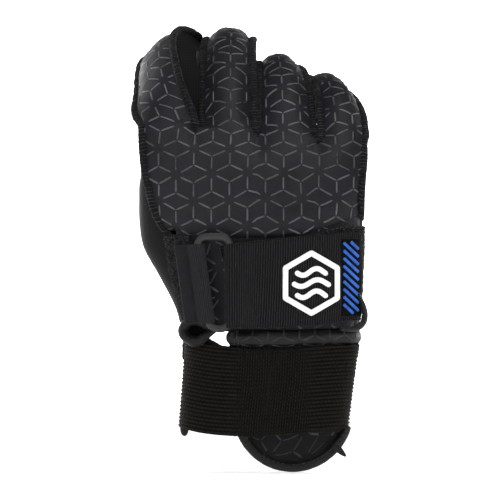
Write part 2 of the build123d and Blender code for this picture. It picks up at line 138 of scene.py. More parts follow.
def curve(xs, ys, x):
    """Smooth curve through the points (xs, ys), read at x."""
    xs, ys, x = np.asarray(xs, float), np.asarray(ys, float), np.asarray(x, float)
    slope = np.gradient(ys, xs)
    i = np.clip(np.searchsorted(xs, x) - 1, 0, len(xs) - 2)
    h = xs[i + 1] - xs[i]
    t = np.clip((x - xs[i]) / h, 0, 1)
    a, b = 2 * t**3 - 3 * t**2 + 1, t**3 - 2 * t**2 + t
    c, d = -2 * t**3 + 3 * t**2, t**3 - t**2
    return a * ys[i] + b * h * slope[i] + c * ys[i + 1] + d * h * slope[i + 1]


def sample(grid, r, c):
    """Bilinear reading of a grid at fractional row r and column c."""
    rows, cols = grid.shape[:2]
    r, c = np.clip(r, 0, rows - 1.001), np.clip(c, 0, cols - 1.001)
    i, j = r.astype(int), c.astype(int)
    s, t = r - i, c - j
    if grid.ndim == 3:
        s, t = s[..., None], t[..., None]
    low = grid[i, j] * (1 - t) + grid[i, j + 1] * t
    high = grid[i + 1, j] * (1 - t) + grid[i + 1, j + 1] * t
    return low * (1 - s) + high * s


def normals_of(grid):
    """Outward normals of a grid whose columns run to +X and rows up, seen from outside."""
    return unit(np.cross(np.gradient(grid, axis=1), np.gradient(grid, axis=0)))


def lengths(grid, axis):
    """Distance run over the surface along one axis of a grid, from its start."""
    steps = np.linalg.norm(np.diff(grid, axis=axis), axis=-1)
    shape = list(steps.shape)
    shape[axis] = 1
    return np.concatenate([np.zeros(shape), np.cumsum(steps, axis=axis)], axis=axis)


def wobble(points, size, seed):
    """Smooth repeatable noise between -1 and 1 at those points."""
    turn = np.random.default_rng(seed)
    total = np.zeros(points.shape[:-1])
    for _ in range(5):
        direction = unit(turn.normal(size=3)) / size * 2 * math.pi * turn.uniform(0.6, 1.6)
        total += np.sin(points @ direction + turn.uniform(0, 6.28))
    return total / 5


# ---------------------------------------------------------------- meshes
def paint_relief_shade(piece, *grids):
    """Stores how high each point stands in a weave, for the material, which scales the colour by it as
    painted shade in the grooves and painted highlight on the crests: the first parts' grids, in order.
    """
    values = np.full(len(piece.data.vertices), 0.5)
    flat = np.concatenate([g.ravel() for g in grids])
    values[:len(flat)] = flat
    layer = piece.data.attributes.new("relief", "FLOAT", "POINT")
    layer.data.foreach_set("value", values.astype(np.float32))


def make_piece(name, parts, materials):
    """One mesh object from parts (points, faces, material number, normals or None)."""
    points, faces, slots, normals, base = [], [], [], [], 0
    for part_points, part_faces, slot, part_normals in parts:
        flat = np.asarray(part_points, float).reshape(-1, 3)
        points.append(flat)
        faces += [[base + int(k) for k in face] for face in part_faces]
        slots += [slot] * len(part_faces)
        if part_normals is not None:
            normals.append(np.asarray(part_normals, float).reshape(-1, 3))
        base += len(flat)
    points = np.concatenate(points) * MM
    mesh = bpy.data.meshes.new(name)
    mesh.from_pydata(points.tolist(), [], faces)
    for material in materials:
        mesh.materials.append(material)
    mesh.polygons.foreach_set("material_index", slots)
    mesh.polygons.foreach_set("use_smooth", [True] * len(faces))
    mesh.update()
    if len(normals) == len(parts):
        mesh.normals_split_custom_set_from_vertices(np.concatenate(normals).tolist())
    piece = bpy.data.objects.new(name, mesh)
    bpy.context.scene.collection.objects.link(piece)
    return piece


def grid_faces(rows, cols, closed=False, flip=False):
    """Quads of a grid, rows up and columns to +X, facing the viewer's side."""
    i, j = np.meshgrid(np.arange(rows - 1), np.arange(cols if closed else cols - 1), indexing="ij")
    a, b = i * cols + j, i * cols + (j + 1) % cols
    quads = np.stack([a, b, b + cols, a + cols], -1).reshape(-1, 4)
    return quads[:, ::-1] if flip else quads


def grid_part(grid, slot=0, normals=None, flip=False):
    return grid, grid_faces(*grid.shape[:2], flip=flip), slot, normals


def tube_rings(path, across, normal, profile):
    """Rings along a path: profile is a list of (across, normal) offsets, or one list per point."""
    profile = np.asarray(profile, float)
    if profile.ndim == 2:
        profile = np.repeat(profile[None], len(path), 0)
    return (path[:, None] + across[:, None] * profile[..., :1] + normal[:, None] * profile[..., 1:])


def tube_part(rings, slot=0):
    """A closed tube through the rings, with a fan over each end."""
    count, sides = rings.shape[:2]
    faces = [list(f) for f in grid_faces(count, sides, closed=True)]
    points = np.concatenate([rings.reshape(-1, 3), [rings[0].mean(0), rings[-1].mean(0)]])
    first, last = len(points) - 2, len(points) - 1
    for k in range(sides):
        faces.append([first, (k + 1) % sides, k])
        faces.append([last, (count - 1) * sides + k, (count - 1) * sides + (k + 1) % sides])
    return points, faces, slot, None


def hoop_part(rings):
    """A tube whose last ring joins its first."""
    count, sides = rings.shape[:2]
    i, j = np.meshgrid(np.arange(count), np.arange(sides), indexing="ij")
    faces = np.stack([i * sides + j, i * sides + (j + 1) % sides, (i + 1) % count * sides + (j + 1) % sides,
                      (i + 1) % count * sides + j], -1).reshape(-1, 4).tolist()
    return rings.reshape(-1, 3), faces, 0, None


def circle(radius, sides):
    angles = np.arange(sides) * 2 * math.pi / sides
    return np.stack([radius * np.cos(angles), radius * np.sin(angles)], -1)


def taper_profile(sides, wide, deep, scale):
    """An oval profile for each point of a path, scaled along it."""
    return circle(1.0, sides)[None] * (np.array([wide, deep]) * scale[:, None])[:, None]


def frames_along(path, up):
    """Across and normal directions along a path, with the normal kept near up."""
    tangent = unit(np.gradient(path, axis=0))
    up = np.broadcast_to(np.asarray(up, float), path.shape)
    across = unit(np.cross(tangent, up))
    return across, np.cross(across, tangent)


def resample(points, spacing):
    """The same line with points evenly spaced."""
    points = np.asarray(points, float)
    run = np.concatenate([[0], np.cumsum(np.linalg.norm(np.diff(points[:, :3], axis=0), axis=1))])
    count = max(3, int(run[-1] / spacing) + 1)
    at = np.linspace(0, run[-1], count)
    return read_along(at, run, points)


def read_along(at, run, values):
    """Rows of values, given at the distances run, read again at other distances."""
    return np.stack([np.interp(at, run, values[:, k]) for k in range(values.shape[1])], -1)


def smooth_line(points, rounds):
    points = np.array(points, float)
    for _ in range(rounds):
        points[1:-1] = points[1:-1] * 0.5 + (points[:-2] + points[2:]) * 0.25
    return points


# ---------------------------------------------------------------- materials
SHEEN_ROUGHNESS = 0.4
BUMP_DEPTH = 0.0004             # metres


def material(name, color, roughness, bump=(), vary=0.12, vary_scale=90, sheen=0.0, coat=0.0,
             specular=0.22, relief=None):
    """A node material. bump is a list of (kind, scale, strength) layers. The last argument, when given, is a
    range of brightness: the colour is scaled by the stored weave height, painting shade into grooves and
    highlight onto crests.
    """
    mat = bpy.data.materials.new(name)
    mat.use_nodes = True
    nodes, links = mat.node_tree.nodes, mat.node_tree.links
    shader = nodes["Principled BSDF"]
    shader.inputs["Roughness"].default_value = roughness
    shader.inputs["Specular IOR Level"].default_value = specular
    shader.inputs["Sheen Weight"].default_value = sheen
    shader.inputs["Sheen Roughness"].default_value = SHEEN_ROUGHNESS
    shader.inputs["Coat Weight"].default_value = coat
    place = nodes.new("ShaderNodeTexCoord")
    noise = nodes.new("ShaderNodeTexNoise")
    noise.inputs["Scale"].default_value = vary_scale
    noise.inputs["Detail"].default_value = 6
    links.new(place.outputs["Object"], noise.inputs["Vector"])
    ramp = nodes.new("ShaderNodeValToRGB")
    low = [c * (1 - vary) for c in color]
    high = [min(1, c * (1 + vary * 1.5)) for c in color]
    ramp.color_ramp.elements[0].position, ramp.color_ramp.elements[1].position = 0.32, 0.7
    ramp.color_ramp.elements[0].color = (*low, 1)
    ramp.color_ramp.elements[1].color = (*high, 1)
    links.new(noise.outputs["Fac"], ramp.inputs["Fac"])
    if relief is None:
        links.new(ramp.outputs["Color"], shader.inputs["Base Color"])
    else:
        # Painted shade and highlight: the colour is scaled by the stored weave height, darkest in the grooves
        # and lightest on the crests; pieces that store no height take the darkest end.
        layer = nodes.new("ShaderNodeAttribute")
        layer.attribute_name = "relief"
        level = nodes.new("ShaderNodeMapRange")
        level.inputs["To Min"].default_value, level.inputs["To Max"].default_value = relief
        links.new(layer.outputs["Fac"], level.inputs["Value"])
        shade = nodes.new("ShaderNodeVectorMath")
        shade.operation = "SCALE"
        links.new(ramp.outputs["Color"], shade.inputs[0])
        links.new(level.outputs["Result"], shade.inputs["Scale"])
        links.new(shade.outputs["Vector"], shader.inputs["Base Color"])
    rough = nodes.new("ShaderNodeMapRange")
    rough.inputs["To Min"].default_value = max(0.05, roughness - 0.1)
    rough.inputs["To Max"].default_value = min(1, roughness + 0.12)
    links.new(noise.outputs["Fac"], rough.inputs["Value"])
    links.new(rough.outputs["Result"], shader.inputs["Roughness"])
    below = None
    for kind, scale, strength in bump:
        if kind == "noise":
            texture, output = nodes.new("ShaderNodeTexNoise"), "Fac"
            texture.inputs["Detail"].default_value = 4
        elif kind == "cells":
            texture, output = nodes.new("ShaderNodeTexVoronoi"), "Distance"
        else:
            texture, output = nodes.new("ShaderNodeTexWave"), "Fac"
            texture.bands_direction = kind
            texture.inputs["Distortion"].default_value = 0.6
            texture.inputs["Detail"].default_value = 1
        texture.inputs["Scale"].default_value = scale
        links.new(place.outputs["Object"], texture.inputs["Vector"])
        node = nodes.new("ShaderNodeBump")
        node.inputs["Strength"].default_value = strength
        node.inputs["Distance"].default_value = BUMP_DEPTH
        links.new(texture.outputs[output], node.inputs["Height"])
        if below:
            links.new(below.outputs["Normal"], node.inputs["Normal"])
        below = node
    if below:
        links.new(below.outputs["Normal"], shader.inputs["Normal"])
    return mat


NEOPRENE = material("neoprene", (0.0088, 0.0083, 0.0111), 0.52,
                    [("cells", 1500, 0.25), ("noise", 240, 0.35)], 0.2, 60, sheen=0.03, specular=0.16)
PRINT = material("raised_print", (0.044, 0.044, 0.048), 0.30,
                 [("noise", 600, 0.35)], 0.6, 60, coat=0.12, specular=0.4)
# A darker copy of the raised print for the hem roll and the tongue, low on the cuff: painted shade, as less
# light falls there.
PRINT_SHADED = material("raised_print_dull", (0.0125, 0.0125, 0.0135), 0.36,
                      [("noise", 600, 0.35)], 0.5, 60, specular=0.35)
SMOOTH = material("smooth_neoprene", (0.0046, 0.0044, 0.0053), 0.5,
                  [("cells", 1700, 0.22), ("noise", 120, 0.3)], 0.18, 45, sheen=0.01, specular=0.09)
SHINY = material("glossy_neoprene", (0.0050, 0.0050, 0.0058), 0.34,
                 [("noise", 160, 0.5), ("noise", 900, 0.2)], 0.25, 70, specular=0.2)
LEATHER = material("synthetic_suede", (0.0105, 0.0105, 0.0115), 0.8,
                   [("noise", 900, 0.5), ("noise", 130, 0.4)], 0.35, 110, sheen=0.10, specular=0.1)
GRIP = material("grip_overlay", (0.0065, 0.0065, 0.007), 0.46,
                [("cells", 520, 0.7)], 0.25, 100, specular=0.25)
CLOTH = material("finger_side_cloth", (0.0042, 0.0042, 0.0045), 0.85,
                 [("X", 420, 0.35), ("Z", 420, 0.35)], 0.4, 90, sheen=0.02, specular=0.08)
EDGE = material("overlocked_edge", (0.0042, 0.0042, 0.0046), 0.75,
                [("noise", 1000, 0.9)], 0.6, 300, sheen=0.05, specular=0.12)
THREAD = material("overlock_thread", (0.027, 0.027, 0.028), 0.6,
                  [("noise", 2500, 0.4)], 0.95, 330, specular=0.15)
PILE = material("loop_pile", (0.0075, 0.0075, 0.0078), 0.8, [("noise", 900, 0.6)], 0.6, 500, sheen=0.08,
                specular=0.1)
FIBRE = material("pile_fibre", (0.030, 0.029, 0.030), 0.65, [("noise", 1500, 0.4)], 0.9, 650, sheen=0.1,
                 specular=0.2)
# Both webbings paint shade into the grooves of their weave and highlight onto its crests, from the stored
# weave height.
WEBBING = material("webbing", (0.0092, 0.0086, 0.0096), 0.66,
                   [("noise", 1800, 0.6)], 0.2, 1500, sheen=0.03, specular=0.08, relief=(0.03, 2.5))
WEBBING_OLIVE = material("wrist_webbing", (0.0050, 0.0042, 0.0031), 0.66,
                         [("noise", 1800, 0.6)], 0.2, 1500, sheen=0.02, specular=0.06, relief=(0.03, 2.5))
BINDING = material("binding_tape", (0.0036, 0.0033, 0.0032), 0.5,
                   [("noise", 1400, 0.4), ("noise", 260, 0.4)], 0.3, 120, sheen=0.03, specular=0.2)
PLASTIC = material("ring_plastic", (0.017, 0.017, 0.0165), 0.4,
                   [("noise", 420, 0.25)], 0.15, 50, specular=0.35)
WHITE = material("emblem_thread", (0.86, 0.86, 0.87), 0.6, [("noise", 1500, 0.5)], 0.08, 300, sheen=0.05)
BLUE = material("blue_thread", (0.018, 0.105, 0.47), 0.5, [("noise", 1500, 0.5)], 0.25, 300, sheen=0.05)
FLOOR = material("studio_paper", (0.93, 0.93, 0.93), 0.9, [("noise", 40, 0.02)], 0.01, 6)


# ---------------------------------------------------------------- the hand's surface
def section(z):
    """Centre and half sizes of the hand's oval at height z."""
    left, right, front, rear = (curve(HAND[:, 0], HAND[:, k], z) for k in (1, 2, 3, 4))
    return (left + right) / 2, (right - left) / 2, (front + rear) / 2, (rear - front) / 2


def hand_point(x, z, side):
    """The hand's surface over (x, z): side -1 is the back of the hand and 1 the palm."""
    cx, a, cy, b = section(z)
    t = np.clip(np.abs((x - cx) / a), 0, 0.9995)
    y = cy + side * b * (1 - t**SHARP) ** (1 / SHARP)
    return np.stack([np.broadcast_to(x, y.shape), y, np.broadcast_to(z, y.shape)], -1)


def knuckle_height(x):
    joint = JOINTS["knuckle_fold"]
    axis = joint["axis"]
    return joint["pos_m"][2] / MM + (x - joint["pos_m"][0] / MM) * axis[2] / axis[0]


# ---------------------------------------------------------------- fingers
class Finger:
    """The centre line of a finger and its section, measured along s from the knuckle."""

    def __init__(self, name, spec):
        joint = JOINTS[name + "_curl"]
        self.name, self.spec = name, spec
        self.joint = np.array(joint["pos_m"]) / MM
        self.axis = unit(joint["axis"])
        lean = math.radians(spec["lean"])
        up = np.array([math.sin(lean), 0, math.cos(lean)])
        self.up = unit(up - self.axis * (up @ self.axis))
        self.curl = np.cross(self.axis, self.up)
        self.end = spec["first"] + spec["tip"]
        self.table_s = np.arange(-10, self.end + CAP + 1, 0.5)
        tip = (self.table_s - spec["first"]) / spec["tip"]
        bent = spec["bend"][0] + np.clip(tip, 0, 1.1) * (spec["bend"][1] - spec["bend"][0])
        tilt = np.where(tip < 0, spec["tilt"], bent)
        kernel = np.ones(27) / 27
        tilt = np.convolve(np.pad(tilt, 13, mode="edge"), kernel, mode="valid")
        self.table_tilt = np.radians(tilt)
        step = np.stack([np.cos(self.table_tilt), np.sin(self.table_tilt)], -1) * 0.5
        flat = np.cumsum(step, axis=0)
        flat -= flat[np.argmin(abs(self.table_s - spec["first"]))]
        self.table_c = self.joint + flat[:, :1] * self.up + flat[:, 1:] * self.curl

    def directions(self, s):
        """Along, right and normal directions at s, with the finger's roll."""
        tilt = np.interp(s, self.table_s, self.table_tilt)[..., None]
        along = np.cos(tilt) * self.up + np.sin(tilt) * self.curl
        normal = np.sin(tilt) * self.up - np.cos(tilt) * self.curl
        right = np.broadcast_to(-self.axis, along.shape)
        stops = np.array(self.spec["roll"], float)
        roll = curve(stops[:, 0], stops[:, 1], np.clip(s, stops[0, 0], stops[-1, 0]))
        roll = np.radians(roll * ease(s / WEB))[..., None]
        return (along, right * np.cos(roll) + normal * np.sin(roll),
                normal * np.cos(roll) - right * np.sin(roll))

    def centre(self, s):
        base = np.stack([np.interp(s, self.table_s, self.table_c[:, k]) for k in range(3)], -1)
        stops = np.array(self.spec["drift"], float)
        drift = curve(stops[:, 0], stops[:, 1], np.clip(s, 0, stops[-1, 0]))
        return base - self.axis * drift[..., None]

    def half_depth(self, s):
        first = self.spec["first"]
        depth = 27 + (self.spec["depth"] - 27) * np.clip(s / first, 0, 1)
        return depth / 2 - self.spec["thin"] * ease((s - first) / self.spec["tip"])

    def cap_scale(self, s):
        q = np.clip((s - self.end) / CAP, 0, 0.997)
        return (1 - q**2.3) ** (1 / 2.3)


fingers = [Finger(name, spec) for name, spec in FINGERS.items()]


def half_width(finger, number, s, side):
    """Distance from a finger's middle to one edge of its back, at s."""
    body = finger.spec["half"] - finger.spec["taper"] * ease((s - WEB - 8) / (finger.end - WEB))
    x = finger.centre(s)[..., 0]
    outer = (number == 0 and side < 0) or (number == 3 and side > 0)
    if outer:
        edge = LEFT_SEAM[-1, 1] if side < 0 else RIGHT_EDGE
        wide = np.abs(edge - x)
        return wide + (body - wide) * ease((s - 4) / 40)
    border = BORDERS[number] if side > 0 else BORDERS[number - 1]
    wide = np.abs(border - x)
    q = np.clip((s - WEB) / 6.5, 0, 1)
    return body + (wide - body) * (1 - np.sqrt(q * (2 - q)))


def sag_at(finger, s):
    """How far a finger's back falls from its crest to its seams."""
    return 3.2 + (finger.spec["sag"] - 3.2) * ease((s - WEB) / 12)


def edge_height(finger, s):
    return finger.half_depth(s) - sag_at(finger, s)


def finger_section(finger, number, s, p, side):
    """Points of a finger's back (side 1) or palm (side -1) at rows s and columns p."""
    s, p = s[:, None], p[None, :]
    _, right, normal = finger.directions(s[..., 0])
    left_half = half_width(finger, number, s, -1)
    right_half = half_width(finger, number, s, 1)
    lx = np.where(p < 0, left_half, right_half) * p
    arch = finger.half_depth(s) - sag_at(finger, s) * np.abs(p) ** 2.3
    centre = finger.centre(s[..., 0])[:, None]
    x = centre[..., 0] + lx
    t = np.clip(np.abs((x + 8) / 51.6), 0, 0.97)
    flat = 13.2 * (1 - t**SHARP) ** (1 / SHARP)
    share = ease((s + 2) / (WEB + 2))
    height = side * (flat * (1 - share) + arch * share)
    scale = finger.cap_scale(s)
    return centre + right[:, None] * (lx * scale)[..., None] + normal[:, None] * (height * scale)[..., None]


def bridge(low, high, rows):
    """Rows that join the last row of low to the first of high without a kink."""
    a, b = low[-1], high[0]
    gap = np.linalg.norm(b - a, axis=-1, keepdims=True)
    leave = unit(low[-1] - low[-2]) * gap
    arrive = unit(high[1] - high[0]) * gap
    t = np.linspace(0, 1, rows + 2)[1:-1, None, None]
    return ((2 * t**3 - 3 * t**2 + 1) * a + (t**3 - 2 * t**2 + t) * leave
            + (3 * t**2 - 2 * t**3) * b + (t**3 - t**2) * arrive)


HAND_ROWS, BRIDGE_ROWS = 18, 16  # rows over the hand, and from there to a finger
BACK_START, PALM_FIRST = 11.0, 15.0  # where a finger's own sections begin


def share_border(strips, rows):
    """Neighbouring strips meet in one line on those rows."""
    p = np.linspace(-1, 1, strips[0].shape[1])
    for one, two in zip(strips, strips[1:]):
        for row in rows:
            middle = (one[row, -1] + two[row, 0]) / 2
            one[row] += (middle - one[row, -1]) * (np.clip(p, 0, 1) ** 2)[:, None]
            two[row] += (middle - two[row, 0]) * (np.clip(-p, 0, 1) ** 2)[:, None]


def finger_rows(finger, start):
    low = np.linspace(start, WEB, 9)
    high = np.arange(WEB + 0.35, finger.end, STEP)
    cap = finger.end + CAP * np.sin(np.linspace(0, math.pi / 2, 12))
    return np.concatenate([low, high, cap])


def back_strips():
    """One grid per finger, from the hem of the back panel to the fingertip."""
    p = np.linspace(-1, 1, COLUMNS)
    tops = [finger_section(f, n, finger_rows(f, BACK_START), p, 1) for n, f in enumerate(fingers)]
    share_border(tops, range(9))
    strips = []
    for number, top in enumerate(tops):
        share = np.linspace(0, 1, HAND_ROWS)[:, None]
        rough_x = np.linspace(*((LEFT_SEAM[-1, 1], *BORDERS, RIGHT_EDGE)[number:number + 2]), COLUMNS)[None]
        z = curve(*HEM.T, rough_x)
        z = z + (knuckle_height(rough_x) - 5 - z) * share
        left = curve(*LEFT_SEAM.T, z) if number == 0 else np.full_like(z, BORDERS[number - 1])
        right = np.full_like(z, RIGHT_EDGE if number == 3 else BORDERS[number])
        x = left + (right - left) * (p[None] + 1) / 2
        hand = hand_point(x, z, -1)
        hand[..., 1] -= puff(z - curve(*HEM.T, rough_x))
        strips.append(np.concatenate([hand, bridge(hand, top, BRIDGE_ROWS), top]))
    return strips


def puff(above):
    """The padded panel swells above its hem and turns in at it."""
    return 2.3 * np.sin(np.pi * np.clip(above / 19, 0, 1)) ** 0.8 - 2.6 * np.clip(1 - above / 2.2, 0, 1) ** 2


def palm_edge(z):
    """x of the seam between the palm and the little-finger side."""
    cx, a, _, _ = section(z)
    return np.minimum(39.5, cx + a * 0.975)


def palm_borders(z):
    """The five lines between palm strips at height z."""
    left = curve(*PALM_SEAM.T, z)
    lines = [left]
    for k, border in enumerate(BORDERS):
        even = left + (38.0 - left) * (k + 1) / 4
        lines.append(even + (border - even) * ease((z - 50) / 50))
    lines.append(palm_edge(z))
    return lines


def palm_strips():
    p = np.linspace(-1, 1, COLUMNS)
    tops = [finger_section(f, n, finger_rows(f, PALM_FIRST), p, -1) for n, f in enumerate(fingers)]
    share_border(tops, range(9))
    strips = []
    for number, top in enumerate(tops):
        z = np.linspace(46.5, 104, HAND_ROWS + 10)[:, None] * np.ones_like(p)[None]
        lines = palm_borders(z)
        x = lines[number] + (lines[number + 1] - lines[number]) * (p[None] + 1) / 2
        hand = hand_point(x, z, 1)
        hand[..., 1] += 1.6 * pad_swell(x, z)
        strips.append(np.concatenate([hand, bridge(hand, top, BRIDGE_ROWS), top]))
    return strips


def pad_swell(x, z):
    """Soft fullness of the ball of the thumb and the heel of the hand."""
    thumb = np.exp(-((x + 34) / 12) ** 2 - ((z - 76) / 18) ** 2)
    heel = np.exp(-((x - 22) / 13) ** 2 - ((z - 68) / 20) ** 2)
    return thumb + heel


def finger_wall(finger, number, side, start):
    """The strip between a finger's back and its palm side, on one side of the finger."""
    s = finger_rows(finger, start)
    s = s[8:] if start == WEB else s
    share = np.linspace(0, 1, 8)[None, :]
    _, right, normal = finger.directions(s)
    half = half_width(finger, number, s[:, None], side)
    edge = edge_height(finger, s[:, None])
    scale = finger.cap_scale(s[:, None])
    bulge = 0.6 * np.sin(np.pi * share)
    lx = side * (half + bulge * np.clip((s[:, None] - WEB) / 5, 0, 1)) * scale
    height = edge * (1 - 2 * share) * scale
    centre = finger.centre(s)[:, None]
    return centre + right[:, None] * lx[..., None] + normal[:, None] * height[..., None], s


def thumb_panel_grid():
    """The smooth panel round the thumb side, from the cuff to the foot of the index finger."""
    finger = fingers[0]
    z = np.linspace(49.5, 110, 34)
    start = np.where(z > 88.6, curve(*LEFT_SEAM.T, z) + 0.3,
                     curve((49.0, 70.0, 88.6), (-37.5, -42.5, -42.8), z))
    end = curve(*PALM_SEAM.T, z)
    cx, a, cy, b = section(z)
    columns = []
    for x, side in ((start, -1), (end, 1)):
        t = np.clip((x - cx) / a, -0.9995, 0.9995)
        y = side * (1 - np.abs(t) ** SHARP) ** (1 / SHARP)
        columns.append(np.arctan2(power(y, SHARP / 2), power(t, SHARP / 2)))
    first, last = columns[0] % (2 * math.pi), columns[1] % (2 * math.pi)
    share = np.linspace(0, 1, 30)[None]
    angle = first[:, None] + (last - first)[:, None] * share
    c, s = np.cos(angle), np.sin(angle)
    x = cx[:, None] + a[:, None] * power(c, 2 / SHARP)
    y = cy[:, None] + b[:, None] * power(s, 2 / SHARP)
    hand = np.stack([x, y, np.repeat(z[:, None], 30, 1)], -1)
    wall, _ = finger_wall(finger, 0, -1, BACK_START)
    wide = np.stack([curve_columns(row, 30) for row in wall])
    return np.concatenate([hand, bridge(hand, wide, 10), wide])


def curve_columns(row, count):
    """One row of a grid read again at another number of columns."""
    at = np.linspace(0, len(row) - 1, count)
    return np.stack([np.interp(at, np.arange(len(row)), row[:, k]) for k in range(3)], -1)


def outer_side_grid():
    """The narrow strip down the little-finger side of the hand."""
    z = np.linspace(46.5, 104, 30)
    share = np.linspace(-1, 1, 12)[None]
    cx, a, cy, b = section(z)
    x_front = np.where(z > 90, RIGHT_EDGE, cx + a * 0.965)
    t_front = (x_front - cx) / a
    t_rear = (palm_edge(z) - cx) / a
    y_front = -(1 - np.clip(t_front, 0, 0.9995) ** SHARP) ** (1 / SHARP)
    y_rear = (1 - np.clip(t_rear, 0, 0.9995) ** SHARP) ** (1 / SHARP)
    first = np.arctan2(-np.abs(y_front) ** (SHARP / 2), np.abs(t_front) ** (SHARP / 2))
    last = np.arctan2(np.abs(y_rear) ** (SHARP / 2), np.abs(t_rear) ** (SHARP / 2))
    angle = first[:, None] + (last - first)[:, None] * (share + 1) / 2
    c, s = np.cos(angle), np.sin(angle)
    x = cx[:, None] + a[:, None] * np.abs(c) ** (2 / SHARP)
    y = cy[:, None] + b[:, None] * power(s, 2 / SHARP)
    hand = np.stack([x, y, np.repeat(z[:, None], 12, 1)], -1)
    wall, _ = finger_wall(fingers[3], 3, 1, BACK_START)
    wide = np.stack([curve_columns(row, 12) for row in wall])
    return np.concatenate([hand, bridge(hand, wide, 14), wide])


# ---------------------------------------------------------------- the raised print
class Skin:
    """A surface that is read by distance across (u) and along (v), in millimetres."""

    def __init__(self, grid, u, v, open_rows=None):
        self.grid, self.u, self.v = grid, u, v
        self.normal = normals_of(grid)
        self.open_rows = grid.shape[0] if open_rows is None else open_rows
        self.slopes = [np.gradient(g, axis=k) for g in (u, v) for k in (0, 1)]

    def find(self, u, v):
        """Rows and columns of the points (u, v), and which of them lie on the skin."""
        rows, cols = self.grid.shape[:2]
        middle = cols // 2
        r = np.interp(v, self.v[:, middle], np.arange(rows))
        c = np.full_like(r, float(middle))
        for _ in range(14):
            ur, uc, vr, vc = (sample(g, r, c) for g in self.slopes)
            eu, ev = u - sample(self.u, r, c), v - sample(self.v, r, c)
            det = ur * vc - uc * vr
            det = np.where(np.abs(det) < 1e-6, 1e-6, det)
            r = np.clip(r + np.clip((eu * vc - ev * uc) / det, -6, 6), 0, rows - 1.01)
            c = np.clip(c + np.clip((ev * ur - eu * vr) / det, -4, 4), 0, cols - 1.01)
        off = np.hypot(u - sample(self.u, r, c), v - sample(self.v, r, c))
        inset = np.where(r < self.open_rows, 0.0, 0.55)
        good = (off < 0.12) & (c >= inset) & (c <= cols - 1.02 - inset) & (r > 0.5) & (r < rows - 6)
        return r, c, good


def emboss_edges(u_range, v_range, width=EMBOSS_W, edge=EMBOSS_A, origin=(0.0, 0.0)):
    """Edges of the tumbling-block pattern: from just off a hub to a three-way corner."""
    edges = []
    row_height = 1.5 * edge
    for j in range(int((v_range[0] - origin[1]) / row_height) - 2,
                   int((v_range[1] - origin[1]) / row_height) + 3):
        for k in range(int((u_range[0] - origin[0]) / width) - 2, int((u_range[1] - origin[0]) / width) + 3):
            hub = np.array([origin[0] + (k + 0.5 * (j % 2)) * width, origin[1] + j * row_height])
            for arm in ((0, edge), (0, -edge), (width / 2, edge / 2), (-width / 2, edge / 2),
                        (width / 2, -edge / 2), (-width / 2, -edge / 2)):
                edges.append((hub + np.array(arm) * 0.25, hub + np.array(arm) * 0.985))
    return edges


def ribs_on(skins, edges, names):
    """Raised ribs over the skins, grouped by name: names gives a group for (skin, row)."""
    samples, profile = 10, ((-1, -0.06), (-0.72, 0.62), (0, 1.0), (0.72, 0.62), (1, -0.06))
    t = np.linspace(0, 1, samples)
    groups = {}
    for start, end in edges:
        direction = unit(end - start)
        across = np.array([-direction[1], direction[0]])
        line = start + (end - start) * t[:, None]
        round_end = np.sqrt(np.clip(1 - np.abs(2 * t - 1) ** 7, 0.05, 1))
        fade = 0.86 + 0.22 * random.random()
        offsets = np.array([k[0] for k in profile])[None] * RIB_WIDTH * fade * round_end[:, None]
        uv = line[:, None] + across * offsets[..., None]
        rise = np.array([k[1] for k in profile])[None] * RIB_HEIGHT * round_end[:, None]
        best = None
        for number, skin in enumerate(skins):
            r, c, good = skin.find(uv[..., 0].ravel(), uv[..., 1].ravel())
            shape = uv.shape[:2]
            r, c, good = r.reshape(shape), c.reshape(shape), good.reshape(shape)
            if best is None:
                best = [np.zeros((*shape, 3)), np.zeros((*shape, 3)), np.zeros(shape, bool),
                        np.zeros(shape), np.zeros(shape, int)]
            take = good & ~best[2]
            best[0][take] = sample(skin.grid, r, c)[take]
            best[1][take] = sample(skin.normal, r, c)[take]
            best[3][take], best[4][take] = r[take], number
            best[2] |= good
        whole = best[2].all(1)
        run, longest = [], []
        for k in range(samples):
            run = run + [k] if whole[k] else []
            longest = run if len(run) > len(longest) else longest
        if len(longest) < 4:
            continue
        keep = longest
        rise_here = rise[keep].copy()
        rise_here[0] = rise_here[-1] = -0.05
        points = best[0][keep] + unit(best[1][keep]) * rise_here[..., None]
        if np.linalg.norm(np.diff(points, axis=0), axis=-1).max() > 4:
            continue
        mid = keep[len(keep) // 2]
        group = names(best[4][mid, 2], best[3][mid, 2])
        groups.setdefault(group, []).append((points, grid_faces(*points.shape[:2], flip=True), 0, None))
    return groups


# ---------------------------------------------------------------- build: hand and fingers
def build_skins():
    strips = back_strips()
    web_row = HAND_ROWS + BRIDGE_ROWS + 8
    skins = []
    across = [lengths(g, 1) for g in strips]
    for number, grid in enumerate(strips):
        v = lengths(grid, 0)
        for k in range(grid.shape[1]):
            z = grid[:web_row + 12, k, 2]
            v[:, k] -= np.interp(EMBOSS_Z, z, v[:web_row + 12, k])
        skins.append([grid, across[number].copy(), v])
    # Below the webs, distance across runs on from strip to strip, starting at the middle border.
    for number, (grid, u, v) in enumerate(skins):
        run = across[number]
        low = slice(0, web_row + 1)
        if number == 1:
            u[:] = run - run[:, -1:] + BORDERS[1]
        elif number == 0:
            u[low] = run[low] - run[low][:, -1:] + BORDERS[1] - across[1][low][:, -1:]
        elif number == 2:
            u[:] = run + BORDERS[1]
        else:
            u[low] = run[low] + BORDERS[1] + across[2][low][:, -1:]
        middle = grid.shape[1] // 2
        centre = u[web_row, middle]
        u[web_row + 1:] = run[web_row + 1:] - run[web_row + 1:, middle:middle + 1] + centre
    made = [Skin(grid, u, v, web_row) for grid, u, v in skins]
    for one, two in zip(made, made[1:]):
        together = unit(one.normal[:web_row + 1, -1] + two.normal[:web_row + 1, 0])
        one.normal[:web_row + 1, -1] = together
        two.normal[:web_row + 1, 0] = together
    return made, web_row


